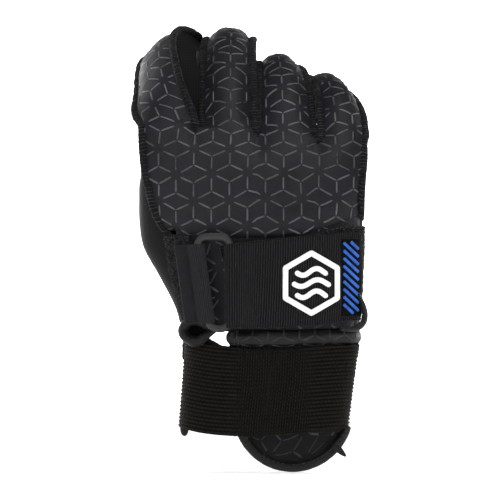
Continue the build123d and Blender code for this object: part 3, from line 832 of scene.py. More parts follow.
def split_row(finger, start, before):
    """Row of a finger's grid at which its own piece begins."""
    rows = finger_rows(finger, start)
    return before + int(np.argmin(np.abs(rows - PIECE_SPLIT)))


skins, web_row = build_skins()
palms = palm_strips()
palm_normals = [-normals_of(g) for g in palms]
before = HAND_ROWS + BRIDGE_ROWS
palm_before = HAND_ROWS + 10 + BRIDGE_ROWS


def blend_hand(piece):
    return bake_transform(piece)


def blend_finger(piece, finger):
    along = finger.directions(np.array([finger.spec["first"]]))[0][0]
    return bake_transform(piece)


hand_back, palm_parts, wall_parts = [], [], []
for number, (finger, skin) in enumerate(zip(fingers, skins)):
    cut = split_row(finger, BACK_START, before)
    palm_cut = split_row(finger, PALM_FIRST, palm_before)
    hand_back.append(grid_part(skin.grid[:cut + 1], 0, skin.normal[:cut + 1]))
    palm_parts.append(grid_part(palms[number][:palm_cut + 1], 0, palm_normals[number][:palm_cut + 1],
                                flip=True))
    own = [grid_part(skin.grid[cut:], 0, skin.normal[cut:]),
           grid_part(palms[number][palm_cut:], 2, palm_normals[number][palm_cut:], flip=True)]
    for side in (-1, 1):
        outer = (number == 0 and side < 0) or (number == 3 and side > 0)
        wall, s = finger_wall(finger, number, side, BACK_START if outer else WEB)
        facing = normals_of(wall) * (-1 if side < 0 else 1)
        split = int(np.argmin(np.abs(s - PIECE_SPLIT)))
        own.append(grid_part(wall[split:], 1, facing[split:], flip=side < 0))
        if not outer:
            wall_parts.append(grid_part(wall[:split + 1], 0, facing[:split + 1], flip=side < 0))
    piece = make_piece(finger.name + "_finger", own, [NEOPRENE, CLOTH, LEATHER])
    blend_finger(piece, finger)
    name = finger.name + "_tip"
    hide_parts(name + "_back", name + "_palm", name + "_fourchettes")

back_skin = blend_hand(make_piece("back_panel_skin", hand_back, [NEOPRENE]))
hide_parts("back_panel", "knuckle_back")
palm_skin = blend_hand(make_piece("palm_skin", palm_parts, [LEATHER]))
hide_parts("palm_panel", "knuckle_palm")
webs = blend_hand(make_piece("finger_webs", wall_parts, [CLOTH]))
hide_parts("knuckle_fourchettes")

thumb_side = thumb_panel_grid()
thumb_side_end = 34 + 10 + int(np.argmin(np.abs(finger_rows(fingers[0], BACK_START) - PIECE_SPLIT)))
thumb_side = thumb_side[:thumb_side_end + 1]
thumb_piece = blend_hand(make_piece(
    "thumb_side_skin", [grid_part(thumb_side, 0, -normals_of(thumb_side), flip=True)], [SMOOTH]))
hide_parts("thumb_panel")
outer_side = outer_side_grid()
outer_end = 30 + 14 + int(np.argmin(np.abs(finger_rows(fingers[3], BACK_START) - PIECE_SPLIT)))
outer_side = outer_side[:outer_end + 1]
little_side = blend_hand(make_piece("little_side_skin", [grid_part(outer_side, 0, normals_of(outer_side))],
                                    [CLOTH]))

edges = emboss_edges((-75, 60), (-50, 110), origin=(EMBOSS_U, 0.0))


def print_group(number, row):
    return fingers[int(number)].name if row > split_row(fingers[int(number)], BACK_START, before) else "hand"


for group, parts in ribs_on(skins, edges, print_group).items():
    piece = make_piece(("back_panel" if group == "hand" else group) + "_print", parts, [PRINT])
    if group == "hand":
        blend_hand(piece)
    else:
        blend_finger(piece, next(f for f in fingers if f.name == group))


# ---------------------------------------------------------------- outside seams
def seam_rings(path, across, normal, seed, width=1.75, thick=1.45):
    """A rough rounded ridge: the two panels' edges, sewn together outside."""
    profile = circle(1.0, 10)
    rough = 1 + 0.17 * wobble(path, 3.2, seed) + 0.15 * wobble(path, 1.3, seed + 1)
    profiles = profile[None] * np.stack([width * rough, thick * (2 - rough)], -1)[:, None]
    return tube_rings(path, across, normal, profiles)


def seam_threads(path, across, normal, seed, pitch=1.75, width=1.85, thick=1.55):
    """Overlock stitches: a thread wound round the ridge."""
    run = lengths(path[:, None], 0)[:, 0]
    turns = run[-1] / pitch
    count = int(turns * 12)
    at = np.linspace(0, run[-1], count)
    base = read_along(at, run, path)
    side = unit(read_along(at, run, across))
    up = unit(read_along(at, run, normal))
    angle = at / pitch * 2 * math.pi
    angle = angle + 0.5 * np.sin(angle) + 1.3 * wobble(base, 7.0, seed
                                                       + 2) + 0.8 * wobble(base, 2.6, seed + 4)
    loose = 1 + 0.17 * wobble(base, 2.0, seed)
    reach_side, reach_up = np.cos(angle) * width * loose, np.sin(angle) * thick * loose
    line = base + side * reach_side[:, None] + up * reach_up[:, None]
    a, n = frames_along(line, unit(line - base))
    return tube_part(tube_rings(line, a, n, circle(0.135, 4)), 1)


def seam_piece(name, paths, seed=1):
    parts = []
    for k, (path, across, normal) in enumerate(paths):
        line = resample(np.concatenate([path, across, normal], 1), 0.55)
        path, across, normal = line[:, :3], unit(line[:, 3:6]), unit(line[:, 6:9])
        parts.append(tube_part(seam_rings(path, across, normal, seed + 10 * k)))
        parts.append(seam_threads(path, across, normal, seed + 10 * k + 5))
    return make_piece(name, parts, [EDGE, THREAD])


def edge_path(finger, number, side, low, high):
    """The line of a finger's outside seam, with its across and normal directions."""
    s = np.arange(low, high, 0.8)
    _, right, normal = finger.directions(s)
    scale = finger.cap_scale(s)
    half = half_width(finger, number, s, side)
    out = 1.15 * np.clip((s - WEB + 1) / 5, 0.2, 1)
    place = (finger.centre(s) + right * (side * (half * scale + out))[:, None]
             + normal * ((edge_height(finger, s) - 0.2) * scale)[:, None])
    return place, right * side, normal


for number, finger in enumerate(fingers):
    high = finger.end + CAP * 0.985
    left = edge_path(finger, number, -1, PIECE_SPLIT, high)
    right = edge_path(finger, number, 1, PIECE_SPLIT, high)
    joined = [np.concatenate([a, b[::-1]]) for a, b in zip(left, right)]
    joined[0] = smooth_line(joined[0], 3)
    joined[1] = smooth_line(joined[1], 6)
    blend_finger(seam_piece(finger.name + "_seam", [joined], 20 * number + 3), finger)

hand_seams = []
for number, finger in enumerate(fingers):
    for side in (-1, 1):
        outer = (number == 0 and side < 0) or (number == 3 and side > 0)
        if not outer:
            hand_seams.append(edge_path(finger, number, side, WEB - 1.0, PIECE_SPLIT + 0.4))


def hand_seam(skin, column, finger, number, side, lift=0.5, out=0.7):
    """The seam down one edge of the back panel, running on up the outer finger."""
    stop = before + 4
    line = skin.grid[:stop, column]
    normal = skin.normal[:stop, column]
    lateral = unit(skin.grid[:stop, column] - skin.grid[:stop, column - side * 2])
    top, top_across, top_normal = edge_path(finger, number, side, BACK_START + 6, PIECE_SPLIT + 0.4)
    path = np.concatenate([line + normal * lift + lateral * out, top])
    across = np.concatenate([lateral, top_across])
    normals = np.concatenate([normal, top_normal])
    return smooth_line(path, 8), unit(smooth_line(across, 8)), unit(smooth_line(normals, 8))


hand_seams.append(hand_seam(skins[0], 0, fingers[0], 0, -1))
hand_seams.append(hand_seam(skins[3], -1, fingers[3], 3, 1))
blend_hand(seam_piece("hand_seams", hand_seams, 200))


# ---------------------------------------------------------------- helpers for cloth, webbing and stitches
def slab_part(front, thickness, slot=0, rim=0.3):
    """A closed layer of cloth: its front grid, a back that far behind it, and a rounded edge."""
    rows, cols = front.shape[:2]
    normal = normals_of(front)
    back = front - normal * thickness
    index = np.arange(rows * cols).reshape(rows, cols)
    loop = np.concatenate([index[0, :-1], index[:-1, -1], index[-1, :0:-1], index[:0:-1, 0]])
    edge, edge_normal = front.reshape(-1, 3)[loop], normal.reshape(-1, 3)[loop]
    outward = unit(np.cross(np.roll(edge, -1, 0) - np.roll(edge, 1, 0), edge_normal))
    middle = edge - edge_normal * thickness / 2 + outward * rim
    count, total = len(loop), rows * cols
    faces = [list(f) for f in grid_faces(rows, cols)]
    faces += [list(f + total) for f in grid_faces(rows, cols, flip=True)]
    k, after = np.arange(count), (np.arange(count) + 1) % count
    ring = 2 * total
    faces += np.stack([loop, ring + k, ring + after, loop[after]], -1).tolist()
    faces += np.stack([ring + k, total + loop, total + loop[after], ring + after], -1).tolist()
    return np.concatenate([front.reshape(-1, 3), back.reshape(-1, 3), middle]), faces, slot, None


def weave(run, along, pitch, weft=1.3, broken=0.3):
    """Height from 0 to 1 of woven ribs, each broken into stitches along it."""
    phase = run / pitch
    ridge = 0.5 - 0.5 * np.cos(2 * math.pi * phase)
    stitch = 0.5 + 0.5 * np.sin(2 * math.pi * along / weft + math.pi * np.floor(phase))
    return ridge * (1 - broken + broken * stitch)


def stitches(path, normal, pitch=2.4, length=1.3, radius=0.24, slot=0, jitter=0.0):
    """A row of separate stitches along a line on a surface."""
    run = lengths(path[:, None], 0)[:, 0]
    parts = []
    t = np.linspace(-1, 1, 6)
    for start in np.arange(pitch / 2, run[-1] - length, pitch):
        at = start + (t + 1) / 2 * length + random.uniform(-jitter, jitter)
        line = read_along(at, run, path)
        up = unit(read_along(at, run, normal))
        line = line + up * (radius * 1.1 * (1 - t**4) - radius * 0.3)[:, None]
        across, up = frames_along(line, up)
        swell = np.sqrt(1 - (t * 0.94) ** 2)
        profile = circle(radius, 6)[None] * swell[:, None, None]
        parts.append(tube_part(tube_rings(line, across, up, profile), slot))
    return parts


def surface_normals(place, x, z):
    """Outward normals of a surface given as a function of x and z, seen from the back of the hand."""
    step = 0.05
    across = place(x + step, z) - place(x - step, z)
    up = place(x, z + step) - place(x, z - step)
    return unit(np.cross(across, up))


def around(x, z, gap):
    """A point on the oval that stands gap outside the back of the cuff."""
    x, z = np.broadcast_arrays(np.asarray(x, float), np.asarray(z, float))
    cx, a, cy, b = section(z)
    t = np.clip(np.abs((x - cx) / (a + gap)), 0, 0.9995)
    return np.stack([x, cy - (b + gap) * (1 - t**SHARP) ** (1 / SHARP), z], -1)


def oval(angle, z, gap=0.0):
    """A point at that angle round the hand's oval: pi is the thumb side, 3 pi / 2 the back."""
    angle, z = np.broadcast_arrays(np.asarray(angle, float), np.asarray(z, float))
    cx, a, cy, b = section(z)
    c, s = np.cos(angle), np.sin(angle)
    x = cx + (a + gap) * power(c, 2 / SHARP)
    y = cy + (b + gap) * power(s, 2 / SHARP)
    return np.stack([x, y, z], -1)


def angle_at(x, z, gap=0.0, side=-1):
    """The angle of the oval's point with that x, on the back (side -1) or the palm (side 1)."""
    cx, a, _, _ = section(z)
    t = np.clip((x - cx) / (a + gap), -0.9999, 0.9999)
    c = power(t, SHARP / 2)
    return (side * np.arccos(np.clip(c, -1, 1))) % (2 * math.pi)


def grid_over(x_range, z_low, z_high, rows, cols):
    """x and z of a grid between two heights, each a number or a function of x."""
    x = np.linspace(*x_range, cols)[None] * np.ones((rows, 1))
    low = z_low(x) if callable(z_low) else np.full_like(x, z_low)
    high = z_high(x) if callable(z_high) else np.full_like(x, z_high)
    return x, low + (high - low) * np.linspace(0, 1, rows)[:, None]


def through(points):
    """A function of x through (x, height) points."""
    points = np.array(points, float)
    return lambda x: curve(points[:, 0], points[:, 1], x)


def fuzz(points, normals, length, radius, slot=0, lean=0.8, curl=0.6):
    """Short bent fibres standing on a surface."""
    count = len(points)
    side = unit(rng.normal(size=(count, 3)))
    side = unit(side - normals * (side * normals).sum(-1, keepdims=True))
    reach = length * rng.uniform(0.5, 1.15, (count, 1))
    tip = points + normals * reach + side * reach * lean * rng.uniform(0.2, 1, (count, 1))
    bend = points + normals * reach * 0.75 + side * reach * 0.2
    tip = tip - normals * reach * curl * rng.uniform(0, 1, (count, 1))
    across = unit(np.cross(side, normals))
    rings = []
    for place, wide in ((points - normals * 0.1, 1.0), (bend, 1.0), (tip, 0.6)):
        rings.append(np.stack([place + across * radius * wide, place + side * radius * wide,
                               place - across * radius * wide, place - side * radius * wide], 1))
    grid = np.stack(rings, 1)
    base = np.arange(count)[:, None, None] * 12
    k = np.arange(4)
    quad = np.stack([k, (k + 1) % 4, (k + 1) % 4 + 4, k + 4], -1)
    quads = np.concatenate([quad, quad + 4, np.array([[8, 9, 10, 11]])])
    return grid.reshape(-1, 3), (base + quads[None]).reshape(-1, 4).tolist(), slot, None


# ---------------------------------------------------------------- cuff below the back panel
def one_group(number, row):
    return "all"


def emboss_part(skin, u_range, v_range, origin=(0, 0), width=EMBOSS_W, edge=EMBOSS_A):
    """Raised print over one skin, in its piece's second material."""
    found = ribs_on([skin], emboss_edges(u_range, v_range, width, edge, origin), one_group)
    return [(points, faces, 1, None) for points, faces, _, _ in found.get("all", [])]


def skin_of(grid):
    u = lengths(grid, 1)
    return Skin(grid, u - u[:, :1], lengths(grid, 0))


def cuff_low(x):
    """The cuff's lower edge rises at the left, to leave the slit over the band open."""
    return 45.6 + 34.0 * np.clip((-29 - x) / 13, 0, 1) ** 0.7


CUFF_HIGH = through([(-34, 92), (-10, 91), (20, 92.5), (41, 99)])
x, z = grid_over((-42.0, 40.6), cuff_low, CUFF_HIGH, 44, 60)
cuff_grid = around(x, z, 0.05)
cuff_skin = skin_of(cuff_grid)
cuff = make_piece("cuff_back_skin", [slab_part(cuff_grid, 2.0)]
                  + emboss_part(cuff_skin, (-5, 90), (-5, 60), origin=(8.4, 4.0)), [NEOPRENE, PRINT])
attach(cuff, "hand")
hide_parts("cuff_back")

HEM_ROLL = through([(-20, 42.9), (-5, 42.6), (10, 42.6), (25, 43.2), (41.5, 43.0)])
x = np.linspace(-19.4, 41.2, 120)
t = np.linspace(0, 1, len(x))
middle = around(x, HEM_ROLL(x), -0.2)
swell = np.clip(1 - np.abs(2 * t - 1) ** 26, 0.12, 1) ** 0.5 * (1 + 0.05 * wobble(middle, 9, 31))
across, normal = frames_along(middle, (0, -1, 0))
angles = np.linspace(-2.2, 2.2, 28)
offsets = np.stack([-np.sin(angles) * 3.75, np.cos(angles) * 3.1], -1)
roll = middle[None] + across[None] * offsets[:, None, :1] * swell[None, :, None] \
    + normal[None] * offsets[:, None, 1:] * swell[None, :, None]
if roll[0, :, 2].mean() > roll[-1, :, 2].mean():
    roll = roll[::-1]
creases = 0.22 * wobble(roll, 5.5, 77)[..., None] * normals_of(roll)
roll = roll + creases
roll_skin = skin_of(roll)
roll_parts = [slab_part(roll, 1.6)] + emboss_part(roll_skin, (-5, 80), (-8, 20), origin=(6.0, 5.0),
                                                  width=14.0, edge=6.5)
for offset in (2.2, 3.6):
    k = int(np.argmin(np.abs(x - (x[0] + offset + 2.0))))
    line, up = roll[5:-5, k], normals_of(roll)[5:-5, k]
    roll_parts += stitches(line, up, 2.0, 1.5, 0.2, 2)
# The hem roll's print takes the darker copy of the print material: painted shade.
hem = make_piece("cuff_hem_roll", roll_parts, [SHINY, PRINT_SHADED, THREAD])
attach(hem, "hand")
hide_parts("cuff_hem")

# The neoprene's rolled edge shows past the lower right corner of the strap.
EDGE_ROLL = np.array([(39.6, -13.0, 62.5), (41.6, -12.0, 58.5), (42.9, -11.0, 54.0), (42.6, -11.0, 50.0),
                      (40.2, -13.0, 47.2), (36.0, -16.5, 46.4), (31.5, -18.6, 46.6)])
corner = resample(EDGE_ROLL, 0.6)
corner = smooth_line(corner, 8)
across, normal = frames_along(corner, (0, -1, 0))
taper = np.clip(np.sin(np.pi * np.linspace(0.04, 0.96, len(corner))), 0.3, 1) ** 0.5
rings = tube_rings(corner, across, normal, taper_profile(12, 1.5, 1.7, taper))
edge_roll = make_piece("cuff_edge_roll", [tube_part(rings)], [SHINY])
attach(edge_roll, "hand")

x, z = grid_over((-14, 35), 0.5, 40.5, 20, 40)
under = make_piece("cuff_under_skin", [slab_part(around(x, z, 0.0), 2.4)], [SMOOTH])
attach(under, "hand")
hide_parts("cuff_under")
x, z = grid_over((-18, 33), 2.0, 48.0, 24, 40)
heel_grid = hand_point(x, z, 1)[:, ::-1] + np.array([0, 0.15, 0])
heel = make_piece("palm_heel_skin", [slab_part(heel_grid, 1.4)], [LEATHER])
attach(heel, "hand")
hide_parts("palm_heel")


# ---------------------------------------------------------------- band round the wrist
WEBBING_PITCH, OLIVE_WEFT = 1.75, 1.9   # ribs of the wrist band, and the stitches along them
BAND_TOP = through([(-42, 41.4), (-30, 40.2), (-12, 37.8), (8, 37.4), (28, 38.4), (42, 39.8)])
BAND_BOTTOM = through([(-42, 2.7), (-36, 1.0), (-18, -1.2), (0, -0.8), (20, 0.8), (42, 2.2)])


def band_point(angle, share, gap=0.0):
    """A point of the wrist band's outside: share runs from its lower to its upper edge."""
    left, right = -41.2 + 2.7 * share - gap, 35.6 + 5.2 * share + gap
    cx, a = (left + right) / 2, (right - left) / 2
    half = 19.6 + gap - 0.5 * share
    c, s = np.cos(angle), np.sin(angle)
    x = cx + a * power(c, 2 / 2.5)
    y = half * power(s, 2 / 2.5)
    z = BAND_BOTTOM(x) + (BAND_TOP(x) - BAND_BOTTOM(x)) * share
    return np.stack([x, y, z], -1)


def band_grid(first, last, columns, rows=150, gap=0.0):
    angle = np.linspace(first, last, columns)[None]
    share = np.linspace(0, 1, rows)[:, None]
    angle, share = np.broadcast_arrays(angle, share)
    return band_point(angle, share, gap)


front = band_grid(math.pi - 0.04, 2 * math.pi - 0.03, 620, 170)
front[..., 1] -= 0.5 * wobble(front, 24, 5)
run, rise = lengths(front, 1), lengths(front, 0)
middle = ease((front[..., 0] + 20) / 10) * ease((22 - front[..., 0]) / 10)
relief = weave(rise, run, WEBBING_PITCH, OLIVE_WEFT)
relief = relief + (weave(run, rise, 1.12, 1.75, 0.5) - relief) * middle * 0.85
front = front + normals_of(front) * (0.55 * (relief - 1))[..., None]
band_front = make_piece("wrist_band_front", [slab_part(front, 1.4)], [WEBBING_OLIVE])
# The weave height is stored for painted groove shade and crest highlight.
paint_relief_shade(band_front, relief)
side = JOINTS["band_peel"]["pos_m"][0]
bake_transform(band_front)
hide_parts("band_flap")

rear = band_grid(-0.42, math.pi - 0.02, 340, 110)
turn = np.linspace(-0.42, math.pi - 0.02, 340)
rear = rear - normals_of(rear) * (2.1 * (1 - ease((turn - 0.02) / 0.22)))[None, :, None]
run, rise = lengths(rear, 1), lengths(rear, 0)
relief = weave(rise, run, WEBBING_PITCH, OLIVE_WEFT)
rear = rear + normals_of(rear) * (0.5 * (relief - 1))[..., None]
band_rear = make_piece("wrist_band_rear", [slab_part(rear, 1.4)], [WEBBING_OLIVE])
# The weave height is stored for painted groove shade and crest highlight.
paint_relief_shade(band_rear, relief)
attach(band_rear, "hand")
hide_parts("band_rear")


def hook_patch(name, grid, body, node):
    """A patch of hook tape on the inside of a strap: a backing and rows of small hooks."""
    inner = grid[:, ::-1]
    normal = normals_of(inner)
    flat, up = inner[1:-1, 1:-1].reshape(-1, 3), normal[1:-1, 1:-1].reshape(-1, 3)
    parts = [slab_part(inner, 0.5), fuzz(flat, up, 0.45, 0.11, 1, 0.3, 0.5)]
    piece = make_piece(name, parts, [SMOOTH, WEBBING])
    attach(piece, body)
    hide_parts(node)


patch = band_grid(5.02, 5.92, 26, 26, gap=-1.6)[3:-3]
hook_patch("band_hooks", patch, "band", "band_hook_patch")

# Frayed threads on the band's cut edge, and the stub of webbing below its left end.
cut_edge = front[4:-4, -1]
spots = cut_edge[rng.integers(0, len(cut_edge), 90)]
frays = [fuzz(spots, unit(np.tile([1.0, -0.25, 0.1], (90, 1)) + rng.normal(size=(90, 3)) * 0.35), 1.0,
              0.07, 0, 0.6, 0.2)]
spots = cut_edge[-24:][rng.integers(0, 24, 22)]
frays.append(fuzz(spots, unit(np.tile([0.8, -0.3, 0.5], (22, 1)) + rng.normal(size=(22, 3)) * 0.4), 2.6,
                  0.075, 0, 0.5, 0.1))
fray = make_piece("band_frayed_edge", frays, [WEBBING_OLIVE])
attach(fray, "band")
t = np.linspace(0, 1, 14)
stub = np.stack([np.full_like(t, -38.3), np.full_like(t, -1.0), 6.5 - 8.2 * t], -1)
across, normal = frames_along(stub, (0, -1, 0))
swell = np.sqrt(np.clip(1 - t**6, 0.08, 1))
stub_piece = make_piece("wrist_stub", [tube_part(tube_rings(
    stub, across, normal, taper_profile(14, 2.0, 2.6, swell)))], [BINDING])
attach(stub_piece, "hand")
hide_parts("pull_tab")


# ---------------------------------------------------------------- bound loop at the wrist
def almond(t, wide, high, y_depth):
    """An eye-shaped closed line."""
    angle = 2 * math.pi * t
    return np.stack([wide * np.cos(angle), y_depth * np.cos(angle),
                     high * np.sin(angle) * np.abs(np.sin(angle)) ** 0.25], -1)


LOOP_CENTRE = np.array([-33.0, -14.8, 45.8])
t = np.linspace(0, 1, 90, endpoint=False)
eye = LOOP_CENTRE + almond(t, 5.9, 4.9, -2.6)
point = ease((eye[:, 0] - LOOP_CENTRE[0] - 0.5) / 6.0)
eye[:, 2] += (LOOP_CENTRE[2] + 0.4 - eye[:, 2]) * 0.72 * point
eye[:, 0] += 2.4 * point
tangent = unit(np.roll(eye, -1, 0) - np.roll(eye, 1, 0))
across = unit(np.cross(tangent, [0, -1, 0]))
normal = np.cross(across, tangent)
rough = (1 + 0.12 * wobble(eye, 6, 3)) * (1.12 - 0.5 * point)
rings = tube_rings(eye, across, normal, taper_profile(16, 2.1, 2.5, rough))
dish = []
closed = np.concatenate([eye, eye[:1]])
for share in np.linspace(1, 0, 9):
    ring = LOOP_CENTRE + (closed - LOOP_CENTRE) * share
    ring[:, 1] += 5.0 * (1 - share**2)
    dish.append(ring)
loop_parts = [hoop_part(rings), grid_part(np.array(dish), 1, flip=True),
              grid_part(np.array(dish) + [0, 0.6, 0], 1)]
# Cloth gathered from the loop down into the band, and up under the pile panel.
x, z = grid_over((-39.0, -20.5), 33.0, through([(-40, 42.5), (-36, 44.5), (-31, 43.6), (-26, 41.2),
                                                (-20, 38.0)]), 20, 44)
gather = around(x, z, -0.6)
gather = gather + normals_of(gather) * (0.7 * wobble(gather, 7.0, 12))[..., None]
loop_parts.append(slab_part(gather, 1.3, 0, rim=0.5))
x, z = grid_over((-39.6, -29.0), through([(-40, 45.5), (-34, 48.8), (-29, 47.6)]), 56.0, 20, 26)
gather = around(x, z, 0.4)
gather = gather + normals_of(gather) * (0.7 * wobble(gather, 7.0, 15))[..., None]
loop_parts.append(slab_part(gather, 1.3, 0, rim=0.5))
loop = make_piece("wrist_loop_binding", loop_parts, [BINDING, CLOTH])
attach(loop, "hand")
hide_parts("wrist_loop")


# ---------------------------------------------------------------- ring, tab, strap
RING_PATH = np.array([(-32.7, 88.0), (-17.8, 88.0), (-17.8, 46.6), (-27.0, 46.6)])
RING_Y = -26.0                  # depth of the ring's middle
ROD = np.array([1.62, 1.55])    # half sizes of its rod, across and out


def rounded_loop(corners, radius, spacing):
    """A closed line through the corners, rounded at each."""
    points = []
    count = len(corners)
    for k in range(count):
        here, last, following = corners[k], corners[k - 1], corners[(k + 1) % count]
        a, b = here + unit(last - here) * radius, here + unit(following - here) * radius
        for t in np.linspace(0, 1, 12):
            points.append(a * (1 - t) ** 2 + 2 * here * t * (1 - t) + b * t**2)
    closed = np.array(points + [points[0]])
    return resample(np.concatenate([closed, np.zeros((len(closed), 1))], 1), spacing)[:-1, :2]


outline = rounded_loop(RING_PATH, 5.0, 0.5)
ring_line = np.stack([outline[:, 0], np.full(len(outline), RING_Y), outline[:, 1]], -1)
tangent = unit(np.roll(ring_line, -1, 0) - np.roll(ring_line, 1, 0))
normal = np.tile([0.0, -1.0, 0.0], (len(ring_line), 1))
across = unit(np.cross(tangent, normal))
angles = np.arange(20) * 2 * math.pi / 20
rod = np.stack([power(np.cos(angles), 0.62) * ROD[0],
                power(np.sin(angles), 0.62) * ROD[1]], -1)
rings = tube_rings(ring_line, across, normal, rod)
ring = make_piece("strap_ring_rod", [hoop_part(rings)], [PLASTIC])
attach(ring, "buckle")
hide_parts("strap_ring")


def bar_x(z):
    return np.interp(z, (46.6, 88.0), (-27.0, -32.7))


def profile_grid(points, z, place_x, columns):
    """A sheet whose section in (x, y) is a smooth line through points, at each height z."""
    line = smooth_line(resample(np.array([(p[0], p[1], 0) for p in points], float), 0.35), 4)
    line = resample(line, lengths(line[:, None], 0)[-1, 0] / (columns - 1))[:columns]
    grid = np.zeros((len(z), len(line), 3))
    grid[..., 0] = place_x(z)[:, None] + line[None, :, 0]
    grid[..., 1] = line[None, :, 1]
    grid[..., 2] = z[:, None]
    return grid


tab_section = [(-4.9, -25.0), (-3.4, -26.9), (-1.2, -28.5), (1.2, -28.9), (2.7, -27.8), (3.2, -26.0),
               (2.8, -24.2), (1.2, -23.0), (-2.0, -22.6), (-6.0, -22.2), (-10.0, -20.6)]
tab = profile_grid(tab_section, np.linspace(49.4, 84.4, 110), bar_x, 170)
relief = weave(lengths(tab, 1), lengths(tab, 0), 0.95, 1.25)
tab = tab + normals_of(tab) * (0.34 * (relief - 1))[..., None]
tab_piece = make_piece("ring_tab_webbing", [slab_part(tab, 1.15)], [WEBBING])
# The weave height is stored, softened, for painted groove shade and crest highlight.
paint_relief_shade(tab_piece, relief * 0.6 + 0.4)
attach(tab_piece, "hand")
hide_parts("ring_tab")

FLAP_TOP = through([(-21, 84.0), (-4.3, 85.9), (10, 87.3), (24.5, 88.6), (38, 89.6), (41.6, 88.6)])
FLAP_BOTTOM = through([(-21, 47.2), (-4.3, 46.9), (12, 47.9), (32.6, 50.0), (38, 51.4), (41.6, 53.2)])


def flap_y(x, z):
    low = around(x, z, 4.5)[..., 1]
    return low + (-28.4 - low) * ease((-3.0 - x) / 13)


def flap_point(x, z):
    x, z = np.broadcast_arrays(np.asarray(x, float), np.asarray(z, float))
    return np.stack([x, flap_y(x, z), z], -1)


def flap_grid():
    """The strap: round the ring's right-hand bar, then over the cuff to its end."""
    turn = [(-13.4, -23.3), (-16.0, -23.2), (-18.3, -23.3), (-19.8, -24.2), (-20.5, -26.0), (-19.8, -27.7),
            (-18.2, -28.4)]
    start = smooth_line(resample(np.array([(a, b, 0) for a, b in turn], float), 0.22), 4)[:, :2]
    x = np.linspace(-18.0, 41.4, 480)
    share = np.linspace(0, 1, 120)[:, None]
    left = np.zeros((120, len(start), 3))
    left[..., 0], left[..., 1] = start[None, :, 0], start[None, :, 1]
    x = np.broadcast_to(x[None], (120, len(x)))
    right = np.zeros((*x.shape, 3))
    right[..., 0] = x
    right[..., 2] = FLAP_BOTTOM(x) + (FLAP_TOP(x) - FLAP_BOTTOM(x)) * share
    right[..., 1] = flap_y(x, right[..., 2])
    edge_x = np.minimum(left[..., 0], -18.0)
    left[..., 2] = FLAP_BOTTOM(edge_x) + (FLAP_TOP(edge_x) - FLAP_BOTTOM(edge_x)) * share
    return np.concatenate([left, right], 1)


flap = flap_grid()
flap[..., 1] -= 0.25 * wobble(flap, 22, 8) * ease((flap[..., 0] + 6) / 10)
flap_run = lengths(flap, 1)
relief = weave(flap_run, lengths(flap, 0), 1.12, 1.4)
flap = flap + normals_of(flap) * (0.42 * (relief - 1))[..., None]
flap_piece = make_piece("strap_webbing", [slab_part(flap, 1.25)], [WEBBING])
# The weave height is stored for painted groove shade and crest highlight.
paint_relief_shade(flap_piece, relief)
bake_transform(flap_piece)
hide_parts("strap_flap", "strap_turn")

x, z = grid_over((14, 37.0), 54.0, 80.0, 40, 36)
patch = flap_point(x, z) + surface_normals(flap_point, x, z) * -1.75
hook_patch("strap_hooks", patch, "strap", "strap_hook_patch")

# The pile layer under the strap shows above it at the right and is sewn down past the cuff's edge.
BASE_TOP = through([(-17, 83.5), (0, 85.5), (18, 87.6), (28, 91.2), (36, 92.8), (43, 92.5)])
share = np.linspace(0, 1, 50)[:, None]
first, last = angle_at(-16.5, 67.0), 2 * math.pi - 0.15
angle = first + (last - first) * np.linspace(0, 1, 120)[None] * np.ones_like(share)
z = 50.5 + share * 30 + 0 * angle
x = oval(angle, z, 1.6)[..., 0]
z = 50.5 + share * (BASE_TOP(x) - 50.5)
base = oval(angle, z, 1.6)
base_normal = normals_of(base)
show = (base[..., 2] > FLAP_TOP(np.clip(base[..., 0], -20, 41.4)) - 3.0) | (base[..., 0] > 39.0)
spots = np.argwhere(show)
pick = spots[rng.integers(0, len(spots), 2600)]
jit = rng.uniform(-0.5, 0.5, (2600, 2))
rr, cc = pick[:, 0] + jit[:, 0], pick[:, 1] + jit[:, 1]
base_piece = make_piece("strap_base_pile", [slab_part(base, 1.1), fuzz(
    sample(base, rr, cc), sample(base_normal, rr, cc), 0.85, 0.09, 1)], [PILE, FIBRE])
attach(base_piece, "hand")
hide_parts("strap_base", "strap_anchor")

# Pile panel at the thumb side.
def pile_left(z):
    return np.interp(z, (51.0, 60, 72, 87), (-39.6, -42.0, -45.0, -47.6))


share = np.linspace(0, 1, 60)[None]
z = np.linspace(50.6, 88.6, 60)[:, None] * np.ones_like(share)
x = pile_left(z) + (-29.0 - pile_left(z)) * share
pile = around(x, z, 1.5)
pile_normal = normals_of(pile)
rr, cc = rng.uniform(0.5, 58.5, 7000), rng.uniform(1.5, 44, 7000)
keep = sample(pile, rr, cc)[:, 0] < bar_x(sample(pile, rr, cc)[:, 2]) - 3.5
rr, cc = rr[keep], cc[keep]
pile_edge, pile_up = pile[:, 4], pile_normal[:, 4]
pile_piece = make_piece("pile_wrap_panel", [slab_part(pile, 1.4), fuzz(
    sample(pile, rr, cc), sample(pile_normal, rr, cc), 0.95, 0.095, 1)]
    + stitches(pile_edge, pile_up, 1.7, 0.8, 0.15, 2), [PILE, FIBRE, THREAD])
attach(pile_piece, "hand")
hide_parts("pile_wrap")


